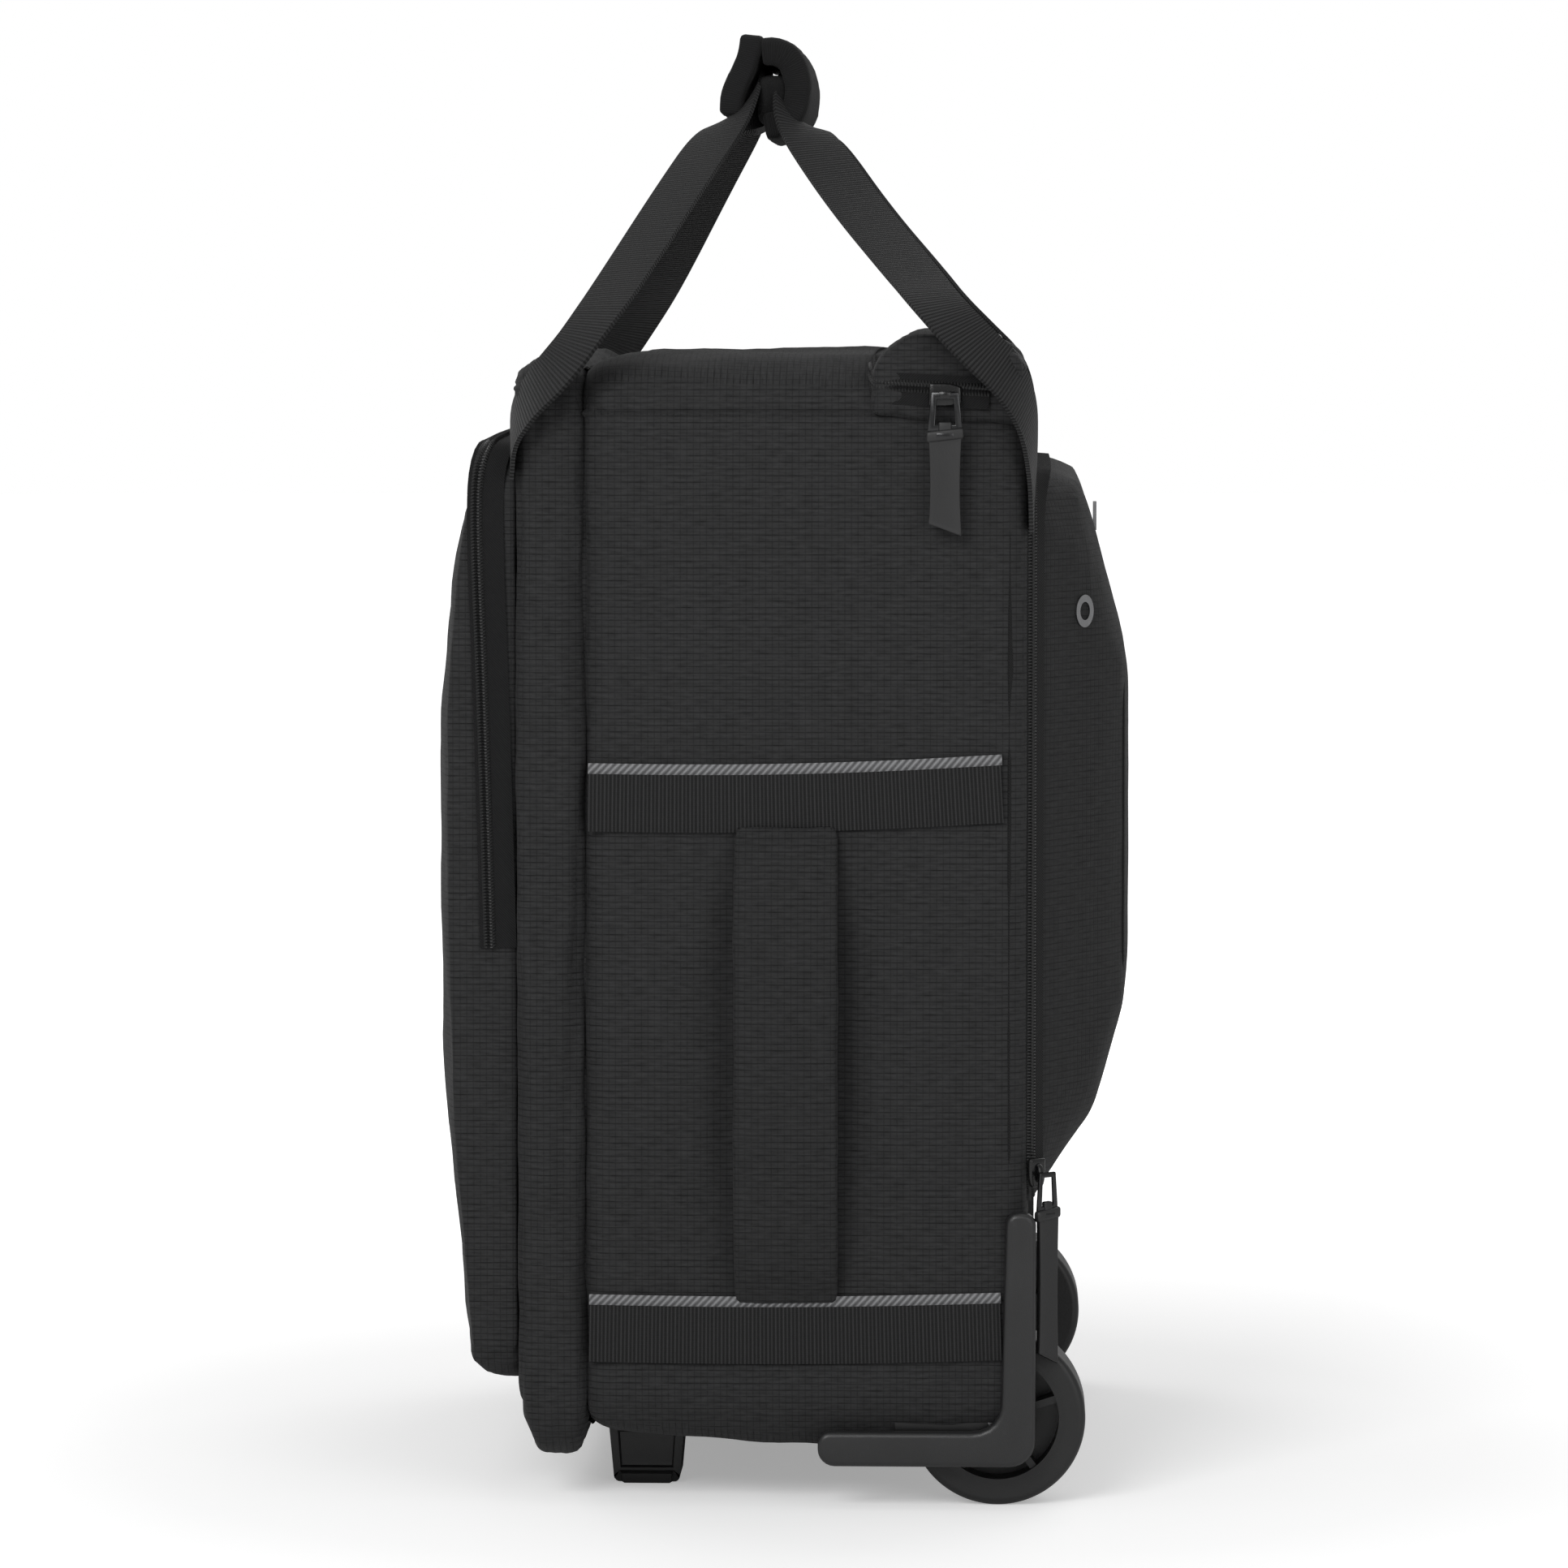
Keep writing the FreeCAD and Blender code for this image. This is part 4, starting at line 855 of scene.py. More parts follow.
def front_pocket():
    low, high = POCKET
    pocket = block("front_pocket_cloth", (low.x, POCKET_BACK - POCKET_DEPTH, low.z), (high.x, POCKET_BACK, high.z))
    round_along_y(pocket, 22 * MM, 5)
    slices(pocket, 0, low.x, high.x, ROWS, [side * (high.x - inset) for side in (-1, 1) for inset in (0.002, 0.006)])
    slices(pocket, 1, POCKET_BACK - POCKET_DEPTH, POCKET_BACK, 6 * MM)
    ends = [low.z + n * 3 * MM for n in range(1, 5)] + [high.z - n * 3 * MM for n in range(1, 10)]
    slices(pocket, 2, low.z, high.z, ROWS, ends)

    def bellied(place, normal):
        share = (POCKET_BACK - place.y) / POCKET_DEPTH
        edge = max(0.0, 1 - (high.x - abs(place.x)) / (14 * MM))
        reach = belly_at(place.z) - 3.5 * MM * edge * edge
        return Vector((place.x, POCKET_BACK - share * reach, place.z))

    shape(pocket, bellied)
    swell(pocket, lambda c: c.y > POCKET_BACK - 1 * MM or abs(c.x) > high.x - 1 * MM, 1.0, 2.5 * MM)
    apply(pocket, "SUBSURF", levels=1, render_levels=1)
    folds(pocket, 1.3 * MM, 60 * MM, (1, 1, 1.6), 2.3, lambda c: 1.0 if abs(c.x) < high.x - 4 * MM else 0.3)
    folds(pocket, 0.35 * MM, 13 * MM, (1, 1, 2), 6.6)
    box_uv(pocket)
    dressed(pocket, SHELL, angle=60)
    return belongs(pocket, "front_lid", "shell_cloth", "front_pocket")


front_pocket()



# %% Pocket zip
def pocket_route(height, inset, off):
    """The way round the pocket from the foot of its zip, over its shoulder and down again."""
    side, top = POCKET[1].x + off, POCKET[1].z + off
    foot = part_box("pocket_zip")[0].z
    deep = [(foot, -121.8), (336 * MM, -124.5), (415 * MM, -127.5)]
    right = [((side, y * MM, z), (1, 0, 0)) for z, y in deep]
    left = [((-side, y * MM, z), (-1, 0, 0)) for z, y in reversed(deep)]
    over = [((s * (side - inset), -119 * MM, top), (0, 0, 1)) for s in (1, -1)]
    corner = [((s * (side - 2 * MM), -125 * MM, top - 6 * MM), (s, 0, 0.7)) for s in (1, -1)]
    return right + [corner[0], over[0], over[1], corner[1]] + left


def shifted(stops, by):
    return [(Vector(place) + Vector(by), facing) for place, facing in stops]


route = pocket_route(0, 20 * MM, 1.2 * MM)
tape = ribbon("pocket_zip_tape", shifted(route, (0, 3.5 * MM, 0)), 15 * MM, 0.7 * MM, TWILL, 5 * MM)
belongs(tape, "front_lid", "zip_tape", "pocket_zip")
chain = coil("pocket_zip_coil", shifted(route, (0, 0, 0)))
belongs(chain, "front_lid", "zip_tape")

# %% [markdown]
# ## The rear pocket
#
# The rear pocket is a foam-backed cap whose sides slope in to a flat face. The cap grows out of a
# shallow rim by extrusions, each drawn in to the size of its ring, and gets a thin wall.

# %% Rear cap
RIM_BACK = FLAP[0].y + 2.5 * MM
RINGS = ((10 * MM, 145 * MM, 137 * MM, 428 * MM), (20 * MM, 129 * MM, 150 * MM, 424 * MM),
         (26 * MM, 119.6 * MM, 157 * MM, 405 * MM), (FLAP[1].y - FLAP[0].y, 95 * MM, 205 * MM, 348 * MM))


def rear_cap():
    low, high = FLAP
    cap = block("rear_cap_cloth", low, (high.x, RIM_BACK, high.z))
    round_along_y(cap, 26 * MM, 4)
    was = (high.x, low.z, high.z, RIM_BACK)
    for depth, half, foot, head in RINGS:
        choose(cap, "FACE", lambda c: close(c.y, was[3]))
        bpy.ops.mesh.extrude_region_move(TRANSFORM_OT_translate={"value": (0, low.y + depth - was[3], 0)})
        mesh = bmesh.from_edit_mesh(cap.data)
        for vertex in mesh.verts:
            if vertex.select:
                vertex.co.x *= half / was[0]
                vertex.co.z = foot + (vertex.co.z - was[1]) * (head - foot) / (was[2] - was[1])
        bmesh.update_edit_mesh(cap.data)
        edit(cap, False)
        was = (half, foot, head, low.y + depth)
    round_edges(cap, 13 * MM, 5, lambda c: close(c.y, high.y))
    depth_plane = low.y + RINGS[-2][0]
    round_edges(cap, 6 * MM, 3, lambda c: close(c.y, depth_plane))
    open_side(cap, lambda c: close(c.y, low.y))
    slices(cap, 0, low.x, high.x, ROWS)
    slices(cap, 2, low.z, high.z, ROWS)
    swell(cap, lambda c: c.y < low.y + 2 * MM, 1.0, 0.6 * MM)
    apply(cap, "SUBSURF", levels=1, render_levels=1)
    folds(cap, 0.3 * MM, 60 * MM, (1, 1, 1.5), 4.4)
    folds(cap, 0.15 * MM, 15 * MM, (1, 1, 1.5), 4.9)
    apply(cap, "SOLIDIFY", thickness=2.4 * MM, offset=-1, material_offset=1, material_offset_rim=0)
    box_uv(cap)
    dressed(cap, FLAP_CLOTH, LINING, angle=60)
    return belongs(cap, "rear_cap", "shell_cloth", "rear_flap")


rear_cap()



# %% Piping round the face of the rear pocket
def round_rect(half, foot, head, y, corner, facing=None):
    """Stops round an upright rectangle with rounded corners, starting below its middle."""
    stops = []
    for x, z, turn in ((half, foot, -90), (half, head, 0), (-half, head, 90), (-half, foot, 180)):
        middle = Vector((x - math.copysign(corner, x), 0, z + (corner if z == foot else -corner)))
        for step in range(5):
            angle = math.radians(turn + 22.5 * step)
            out = Vector((math.cos(angle), 0, math.sin(angle)))
            spot = middle + out * corner
            stops.append(((spot.x, y, spot.z), facing or out))
    start = (0, y, foot)
    return [(start, facing or (0, 0, -1))] + stops + [(start, facing or (0, 0, -1))]


def cord_ring(name, stops, radius, finish):
    """A thin round cord along the stops."""
    route, _ = follow(stops, 5 * MM, 2)
    bpy.ops.curve.primitive_nurbs_path_add()
    line = laid_down(name).data
    line.splines.clear()
    spline = line.splines.new("POLY")
    spline.points.add(len(route) - 1)
    for point, (place, _) in zip(spline.points, route):
        point.co = (*place, 1)
    line.dimensions, line.bevel_depth, line.bevel_resolution, line.use_fill_caps = "3D", radius, 2, True
    bpy.ops.object.convert(target="MESH")
    return dressed(bpy.context.object, finish)


depth, half, foot, head = RINGS[-1]
face = round_rect(half - 0.5 * MM, foot + 0.5 * MM, head - 0.5 * MM, FLAP[1].y - 2.6 * MM, 20 * MM, (0, 1, 0))
belongs(cord_ring("rear_face_piping", face, 1.3 * MM, BINDING), "rear_cap", "shell_cloth")

# %% Rear zip
rim = round_rect(FLAP[1].x + 1.6 * MM, FLAP[0].z - 1.6 * MM, FLAP[1].z + 1.6 * MM, FLAP[0].y + 0.5 * MM, 26 * MM)
BACKWARD = Vector((0, 1, 0))


def cap_tape_stop(place, out):
    """The tape on the cap climbs its slope, which is steep everywhere but along its top."""
    place, out = Vector(place), Vector(out)
    lean = max(abs(out.x), -out.z)
    centre = place - out * (3.2 * MM * lean) + BACKWARD * (5 - 1.6 * lean) * MM
    return centre, out * (1 - 0.45 * lean) + BACKWARD * 0.83 * lean


def body_tape_stop(place, out):
    """The tape on the body turns round the edge of its back, and lies flat above and below."""
    place, out = Vector(place), Vector(out)
    lean = abs(out.x)
    centre = place + out * 6 * MM - BACKWARD * (0.7 + 4.2 * lean) * MM
    return centre, out * 0.66 * lean + BACKWARD * (1 - 0.25 * lean)


chain = [(place, Vector(out) + BACKWARD) for place, out in rim]
belongs(coil("rear_zip_coil", chain, 5.4 * MM), "carcass", "zip_tape", "zip_tapes")
outer = ribbon("rear_zip_tape_cap", [cap_tape_stop(*stop) for stop in rim], 6 * MM, 0.8 * MM, TWILL, 5 * MM)
belongs(outer, "rear_cap", "zip_tape")
inner = ribbon("rear_zip_tape_back", [body_tape_stop(*stop) for stop in rim], 13 * MM, 0.8 * MM, TWILL, 5 * MM, 6)
belongs(inner, "carcass", "zip_tape")


# %% [markdown]
# ## The zip between body and lid
#
# The main zip runs up the far side, over the top and back under the bag, in the crease between the
# body and its lid. The near seam is the lid's hinge, a plain fold, so no coil shows there.

# %% Main zip
SEAM_Y = FRONT - 0.3 * MM


def main_zip():
    inset, low, high = 4.5 * MM, BASE + 5 * MM, TOP - 4 * MM
    bend = CORNER
    stops = [((HALF - 30 * MM, SEAM_Y, high), (0, 0, 1))]
    for x, z, turn in ((-HALF + inset, high, 90), (-HALF + inset, low, 180)):
        middle = Vector((x + bend, 0, z + (bend if z == low else -bend)))
        for step in range(5):
            angle = math.radians(turn + 22.5 * step)
            out = Vector((math.cos(angle), 0, math.sin(angle)))
            spot = middle + out * bend
            stops.append(((spot.x, SEAM_Y, spot.z), out))
    return stops + [((HALF - 30 * MM, SEAM_Y, low), (0, 0, -1))]


belongs(coil("main_zip_coil", main_zip(), 5.0 * MM), "carcass", "zip_tape")
belongs(ribbon("main_zip_tape", shifted(main_zip(), (0, 3.2 * MM, 0)), 5 * MM, 0.6 * MM, TWILL, 5 * MM),
        "carcass", "zip_tape")


def seam_fold():
    """The plain fold of cloth that the lid turns about, on the near side."""
    stops = [((HALF - 7 * MM, SEAM_Y, z), (1, 0, 0)) for z in (BASE + 26 * MM, 0.2, 0.35, TOP - 26 * MM)]
    fold = ribbon("lid_hinge_fold", stops, 6 * MM, 0.8 * MM, SHELL, 6 * MM, 6)
    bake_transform(fold)


seam_fold()

# %% [markdown]
# ## Bands with grey edging
#
# Two webbing bands are sewn round each side. Along the top of each runs a light grey twisted cord.
# The bands rise a little towards the back, as sewing on a soft side never stays dead level.

# %% Bands
BANDS = ((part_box("side_bands_right")[0].z, 24 * MM, "lower"), (281 * MM, 24 * MM, "upper"))
BAND_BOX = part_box("side_bands_right")


def band_line(side, off, foot, rise):
    """Stops along a band on one side, at a height above its foot."""
    stops = []
    for share in (0, 0.2, 0.4, 0.6, 0.8, 1.0):
        y = BAND_BOX[0].y - 3.5 * MM + (BAND_BOX[1].y - BAND_BOX[0].y + 5 * MM) * share
        wave = rise * share ** 2 - 1.0 * MM * math.sin(math.pi * share)
        stops.append(((side * (HALF + off), y, foot + wave), (side, 0, 0)))
    return stops


def bands(side, word):
    sewn = []
    for foot, width, level in BANDS:
        rise = 4 * MM if level == "upper" else 1.5 * MM
        middle = foot + width / 2
        strap = ribbon(f"{level}_band_{word}", band_line(side, 1.7 * MM, middle, rise), width, 1.5 * MM,
                       BAND, 3 * MM, 10, crowned(0.5 * MM))
        belongs(strap, "carcass", "webbing")
        strand = lambda across, along: 1.2 * MM * math.sqrt(max(0.0, 1 - across * across)) * (
            0.75 + 0.25 * math.sin(2 * math.pi * (along / (3.0 * MM) + 0.45 * across)))
        edge = ribbon(f"{level}_edging_{word}", band_line(side, 1.8 * MM, foot + width + 2 * MM, rise),
                      4.4 * MM, 0, EDGING, 0.55 * MM, 6, strand)
        belongs(edge, "carcass", "edging")
        sewn += [strap, edge]
    return sewn


for side, word in ((1, "right"), (-1, "left")):
    made = bands(side, word)
    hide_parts(f"side_bands_{word}")
    if side == 1:
        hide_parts("band_edging")

# %% [markdown]
# ## Side handles
#
# Each side has an upright handle: a flat padded loop, sewn under both bands and arched away from
# the side so that fingers fit behind it. Its two long edges are turned and stitched.

# %% Padded side handles
def side_handle(side, word):
    low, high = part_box(f"side_handle_{word}")
    outer = max(abs(low.x), abs(high.x))
    root = HALF + 0.4 * MM
    thick = 7 * MM
    pad = block(f"side_handle_pad_{word}", (0, low.y, low.z - 3 * MM), (thick, high.y, high.z + 2 * MM))
    round_edges(pad, 2.6 * MM, 3, lambda c: close(c.x, thick))
    slices(pad, 1, low.y, high.y, 3.5 * MM)
    slices(pad, 2, low.z, high.z, 6 * MM)
    middle, half = (low.z + high.z) / 2, (high.z - low.z) / 2

    def arched(place, normal):
        share = min(1.0, abs(place.z - middle) / half)
        stand = (outer - root - thick) * max(0.0, 1 - share ** 5)
        flat = 1 - 0.45 * max(0.0, share - 0.9) * 10 * 0.9
        stitch = min(abs(place.y - low.y - 4.2 * MM), abs(place.y - high.y + 4.2 * MM))
        groove = 0.9 * MM * math.exp(-((stitch / (0.9 * MM)) ** 2)) if place.x > thick * 0.6 else 0
        across = 2 * (place.y - low.y) / (high.y - low.y) - 1
        waist = 1.2 * MM * across * (1 - share * share)
        x = root + stand + place.x * flat * (1 - 0.18 * across ** 4) - groove
        return Vector((side * x, place.y + waist, place.z))

    shape(pad, arched)
    if side < 0:
        edit(pad)
        bpy.ops.mesh.select_all(action="SELECT")
        bpy.ops.mesh.flip_normals()
        edit(pad, False)
    swell(pad, lambda c: abs(c.x) < root + 3 * MM, 2.0, 1.0 * MM, 10)
    apply(pad, "SUBSURF", levels=1, render_levels=1)
    folds(pad, 0.4 * MM, 16 * MM, (1, 1, 2), 9.1 + side)
    box_uv(pad)
    dressed(pad, HANDLE_CLOTH, angle=60)
    return belongs(pad, "carcass", "shell_cloth", f"side_handle_{word}")


for side, word in ((1, "right"), (-1, "left")):
    side_handle(side, word)

# %% [markdown]
# ## Carry straps
#
# A strap leaves its slot flat against the wall, then turns through a right angle within a hand's
# width, so that its face looks out sideways all the way up to the grip. Each strap is one ribbon.

# %% Straps
FRONT_RISE = (0.52, -0.35, 0.78)   # the facings of the right-hand straps on their way up
REAR_RISE = (0.54, 0.19, 0.82)


def mirrored(stops):
    """The same stops on the other side of the bag."""
    return tuple(((-px, py, pz), (-fx, fy, fz)) for (px, py, pz), (fx, fy, fz) in stops)


FRONT_END = (((103, -45, 548), FRONT_RISE), ((72, -31, 571), FRONT_RISE), ((58, -23, 580), (0.4, -0.8, 0.4)),
             ((42, -15, 585), (0.1, -1, 0.1)), ((0, -13, 588), (0, -1, 0)))
REAR_END = (((105, 28, 539), REAR_RISE), ((72, 7, 569), REAR_RISE), ((58, 0, 578), (0.4, 0.8, 0.4)),
            ((42, -4, 583), (0.1, 1, 0.1)), ((0, -4.5, 585), (0, 1, 0)))
FRONT_RUN = (((160, -112.6, 430), (0, -1, 0)), ((166, -112.5, 446), (0.15, -1, 0)),
             ((172.5, -106, 458), (0.4, -1, 0.1)), ((176.5, -91, 474), (0.7, -0.7, 0.25)),
             ((169, -79, 491), (0.6, -0.45, 0.65)), ((150, -68, 508), FRONT_RISE)) + FRONT_END
REAR_RUN = (((158, 102.2, 405), (0, 1, 0)), ((160, 102.6, 432), (0.1, 1, 0)), ((171, 101, 452), (0.35, 1, 0.1)),
            ((180, 93, 468), (0.6, 0.8, 0.2)), ((182, 78, 482), (0.72, 0.45, 0.5)),
            ((174, 63, 498), (0.6, 0.3, 0.75)), ((150, 52, 511), REAR_RISE)) + REAR_END
STRAPS = {"front_right": FRONT_RUN, "front_left": mirrored(FRONT_RUN), "rear_right": REAR_RUN,
          "rear_left": mirrored(REAR_RUN)}


def carry_strap(name):
    stops = [(Vector(place) * MM, facing) for place, facing in STRAPS[name]]
    strap = ribbon(f"{name}_strap", stops, 25 * MM, 1.8 * MM, WEBBING, 3 * MM, 8, crowned(0.25 * MM), rounds=3)
    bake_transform(strap)
    return strap


for end, still in (("front", "front_lid"), ("rear", "carcass")):
    straps = [carry_strap(f"{end}_{word}") for word in ("right", "left")]
    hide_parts(f"{end}_webbing")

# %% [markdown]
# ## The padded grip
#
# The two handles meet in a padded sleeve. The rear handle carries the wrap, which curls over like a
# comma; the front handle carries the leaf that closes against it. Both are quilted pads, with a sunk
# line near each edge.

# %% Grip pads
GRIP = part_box("grip_wrap")[1].x
WRAP = ((-13.5, 604), (-7, 604.5), (-1, 601.5), (2.2, 594), (2.4, 586), (1, 579), (-4, 573.5), (-12, 572))
LEAF = ((-17, 611), (-17.5, 606), (-19.5, 599), (-22.5, 592), (-25.5, 585), (-26, 577))


def turned(stops):
    """Gives each stop of a path across the bag the direction that looks out of its curl."""
    places = [Vector((0, y, z)) * MM for y, z in stops]
    faced = []
    for n, place in enumerate(places):
        run = (places[min(n + 1, len(places) - 1)] - places[max(n - 1, 0)]).normalized()
        faced.append((place, Vector((0, run.z, -run.y)) * -1))
    return faced


def grip_pad(name, stops, thick, body, seed):
    """A strip as wide as the grip, bent round its curl, thick and soft."""
    faced = turned(stops)

    def quilted(across, along):
        ends = 1.0 * MM * (1 - min(1.0, (1 - abs(across)) * 12)) ** 2
        return -ends - 0.5 * MM * math.exp(-(((abs(across) - 0.9) / 0.02) ** 2))

    pad = ribbon(name, faced, 2 * GRIP, 0, GRIP_CLOTH, 2.2 * MM, 48, quilted, rounds=3)
    apply(pad, "SOLIDIFY", thickness=thick, offset=0)
    apply(pad, "BEVEL", width=min(2.4 * MM, thick * 0.42), segments=3, limit_method="ANGLE")
    folds(pad, 0.5 * MM, 14 * MM, (2, 1, 1), seed)
    dressed(pad, GRIP_CLOTH, angle=60)
    return belongs(pad, body, "grip_cloth")


wrap = grip_pad("grip_wrap_pad", WRAP, 11.5 * MM, "handle_rear", 3.3)
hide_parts("grip_wrap")
core = block("grip_core_pad", (-GRIP + 3 * MM, -15 * MM, 573 * MM), (GRIP - 3 * MM, -2 * MM, 594 * MM))
apply(core, "BEVEL", width=4 * MM, segments=3, limit_method="ANGLE")
dressed(core, GRIP_CLOTH, angle=60)
belongs(core, "handle_rear", "grip_cloth")
leaf = grip_pad("grip_leaf_pad", LEAF, 10 * MM, "handle_front", 7.7)
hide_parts("grip_leaf")

# %% [markdown]
# ## The padded cover of the stowed handle
#
# A padded collar sits on the top rear edge, round the stowed trolley grip. Its middle is open to the
# rear, so that the grip can rise. A zip runs round its front and ends.

# %% Cover


def cover():
    low, high = COVER
    pad = block("handle_cover_pad", (low.x, low.y, low.z), (high.x, high.y, high.z))
    cut_away(pad, (TRAY[0].x - 1 * MM, TRAY[0].y, low.z - 0.02), (TRAY[1].x + 1 * MM, high.y + 0.05, high.z + 0.02))
    apply(pad, "BEVEL", width=4.5 * MM, segments=3, limit_method="ANGLE")
    slices(pad, 0, low.x, high.x, 9 * MM)
    slices(pad, 1, low.y, high.y, 6 * MM)
    slices(pad, 2, low.z, high.z, 6 * MM)
    height = high.z - low.z

    def padded_over(place, normal):
        forward = max(0.0, 1 - (place.y - low.y) / (20 * MM))
        rear = max(0.0, (place.y - high.y + 34 * MM) / (34 * MM))
        lift = (place.z - low.z) / height
        drop = lift * (14 * MM * forward ** 2 + 10 * MM * rear ** 2 * (abs(place.x) > TRAY[1].x - 2 * MM))
        sag = (1 - lift) * -3 * MM * max(0.0, 1 - forward * 3)
        groove = 1.3 * MM * math.exp(-(((place.z - low.z - 15.5 * MM) / (1.3 * MM)) ** 2))
        outside = abs(place.x) > TRAY[1].x + 8 * MM or place.y < TRAY[0].y - 6 * MM
        return place - normal * groove * outside + Vector((0, 0, -drop + sag))

    shape(pad, padded_over)
    swell(pad, lambda c: c.z < low.z + 2 * MM, 2.0, 2.2 * MM, 10)
    apply(pad, "SUBSURF", levels=1, render_levels=1)
    folds(pad, 0.9 * MM, 24 * MM, (1, 1, 1), 5.5)
    folds(pad, 0.3 * MM, 9 * MM, (1, 1, 1), 2.5)
    box_uv(pad)
    dressed(pad, SHELL, angle=60)
    return belongs(pad, "carcass", "shell_cloth", "garage_cover")


cover()


def cover_line(drop):
    """Round the front and both ends of the cover, at the height of its zip."""
    low, high = COVER
    z, off = low.z + 11 * MM - drop, 1.6 * MM
    ends = [((high.x + off, high.y - 14 * MM, z - 2 * MM), (1, 0, 0)), ((high.x + off, low.y + 12 * MM, z), (1, 0, 0)),
            ((high.x + off - 3 * MM, low.y + 1 * MM, z), (1, -1, 0)),
            ((high.x - 14 * MM, low.y - off, z + 9 * MM), (0, -1, 0.2))]
    return ends + [(Vector((-p[0], p[1], p[2])), Vector((-f[0], f[1], f[2]))) for p, f in reversed(ends)]


belongs(ribbon("cover_zip_tape", cover_line(0), 13 * MM, 0.7 * MM, TWILL, 4 * MM, 6), "carcass", "zip_tape")
belongs(coil("cover_zip_coil", cover_line(-1.2 * MM)), "carcass", "zip_tape")

# %% [markdown]
# ## Corner guards
#
# Each lower rear corner is shielded by an L of hard plastic. A bar is laid along the foot of the
# side and its arm is drawn up from it by an extrusion. Its corners are rounded one by one, because
# each has its own radius, and the rim of its face is then bevelled all round.


# %% Small tools for hard parts
def choose_facing(piece, axis):
    """In edit mode, selects the faces that look along an axis, either way."""
    edit(piece)
    bpy.ops.mesh.select_mode(type="FACE")
    bpy.ops.mesh.select_all(action="DESELECT")
    mesh = bmesh.from_edit_mesh(piece.data)
    for face in mesh.faces:
        face.select_set(abs(face.normal[axis]) > 0.9)
    bmesh.update_edit_mesh(piece.data)


def joined(*parts):
    """Joins the parts to the first one."""
    bpy.ops.object.select_all(action="DESELECT")
    for part in parts:
        part.select_set(True)
    bpy.context.view_layer.objects.active = parts[0]
    bpy.ops.object.join()
    return parts[0]


def placed(piece, origin, out, up):
    """Turns a part made at the origin, its face along +Y and its top along +Z, onto its place."""
    out, up = Vector(out).normalized(), Vector(up).normalized()
    turn = Matrix((out.cross(up), out, up)).transposed()
    shape(piece, lambda place, normal: Vector(origin) + turn @ place)
    return piece


# %% Corner guards
GUARD_THICK = 4.5 * MM
GUARD_BAR, GUARD_ARM = 14.5 * MM, 12.5 * MM


def corner_guard(side, word):
    low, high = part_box(f"corner_guard_{word}")
    face = side * (HALF + GUARD_THICK)
    ends = sorted((side * (HALF - 0.6 * MM), face))
    inner_y, bar_top = high.y - GUARD_ARM, low.z + GUARD_BAR
    guard = block(f"corner_guard_{word}_moulding", (ends[0], low.y, low.z), (ends[1], high.y, bar_top))
    slices(guard, 1, low.y, high.y, 1, (inner_y,))
    choose(guard, "FACE", lambda c: close(c.z, bar_top) and c.y > inner_y - 0.01 * MM)
    bpy.ops.mesh.extrude_region_move(TRANSFORM_OT_translate={"value": (0, 0, high.z - bar_top)})
    bpy.ops.mesh.select_all(action="SELECT")
    bpy.ops.mesh.dissolve_limited(angle_limit=0.01)
    edit(guard, False)
    corners = ((low.y, low.z, 7), (low.y, bar_top, 5), (high.y, low.z, 11), (high.y, high.z, 5.5),
               (inner_y, high.z, 5), (inner_y, bar_top, 14))
    for y, z, radius in corners:
        round_edges(guard, radius * MM, 6, lambda c: close(c.y, y) and close(c.z, z))
    round_edges(guard, 2.4 * MM, 4, lambda c: close(c.x, face))

    def widened(place, normal):
        """The arm grows wider towards its root."""
        root = max(0.0, 1 - (place.z - bar_top) / (70 * MM)) * (place.z > bar_top) * (place.y < high.y - 4 * MM)
        return place - Vector((0, 2 * MM * root * min(1.0, (place.z - bar_top) / (14 * MM)), 0))

    shape(guard, widened)
    dressed(guard, GUARD, angle=40)
    return belongs(guard, "carcass", "hard_plastic", f"corner_guard_{word}")


for side, word in ((1, "right"), (-1, "left")):
    corner_guard(side, word)

# %% [markdown]
# ## Front feet
#
# Two hollow feet hold the front level with the wheels. Each is a block drawn in towards its flat
# sole, with rounded corners, and its two outer faces are sunk to leave an even rim.


# %% Feet
def foot(word):
    low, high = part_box(f"foot_{word}")
    middle, tall = (low + high) / 2, high.z - low.z
    piece = block(f"foot_{word}_moulding", low, high)
    round_edges(piece, 3 * MM, 4, lambda c: close(c.z, low.z))
    choose_facing(piece, 0)
    bpy.ops.mesh.inset(thickness=3.5 * MM, use_individual=True)
    bpy.ops.mesh.inset(thickness=0.8 * MM, depth=-2.0 * MM, use_individual=True)
    edit(piece, False)
    slices(piece, 2, low.z, high.z, 5 * MM)

    def drawn_in(place, normal):
        share = 0.14 * (1 - (place.z - low.z) / tall)
        return Vector((place.x + (middle.x - place.x) * share, place.y + (middle.y - place.y) * share, place.z))

    shape(piece, drawn_in)
    apply(piece, "BEVEL", width=1.0 * MM, segments=3, limit_method="ANGLE")
    shape(piece, lambda c, n: Vector((c.x, c.y, max(c.z, low.z))))
    dressed(piece, FOOT, angle=40)
    return belongs(piece, "carcass", "hard_plastic", f"foot_{word}")


for word in ("right", "left"):
    foot(word)

# %% [markdown]
# ## Sliders and pulls
#
# A die-cast slider is a wedge with a low bridge over it. A metal link goes through the bridge, and
# a long rubber tab is moulded round the link's lower end. They are made once, at the origin, by
# functions, and each set is then turned onto its own zip.


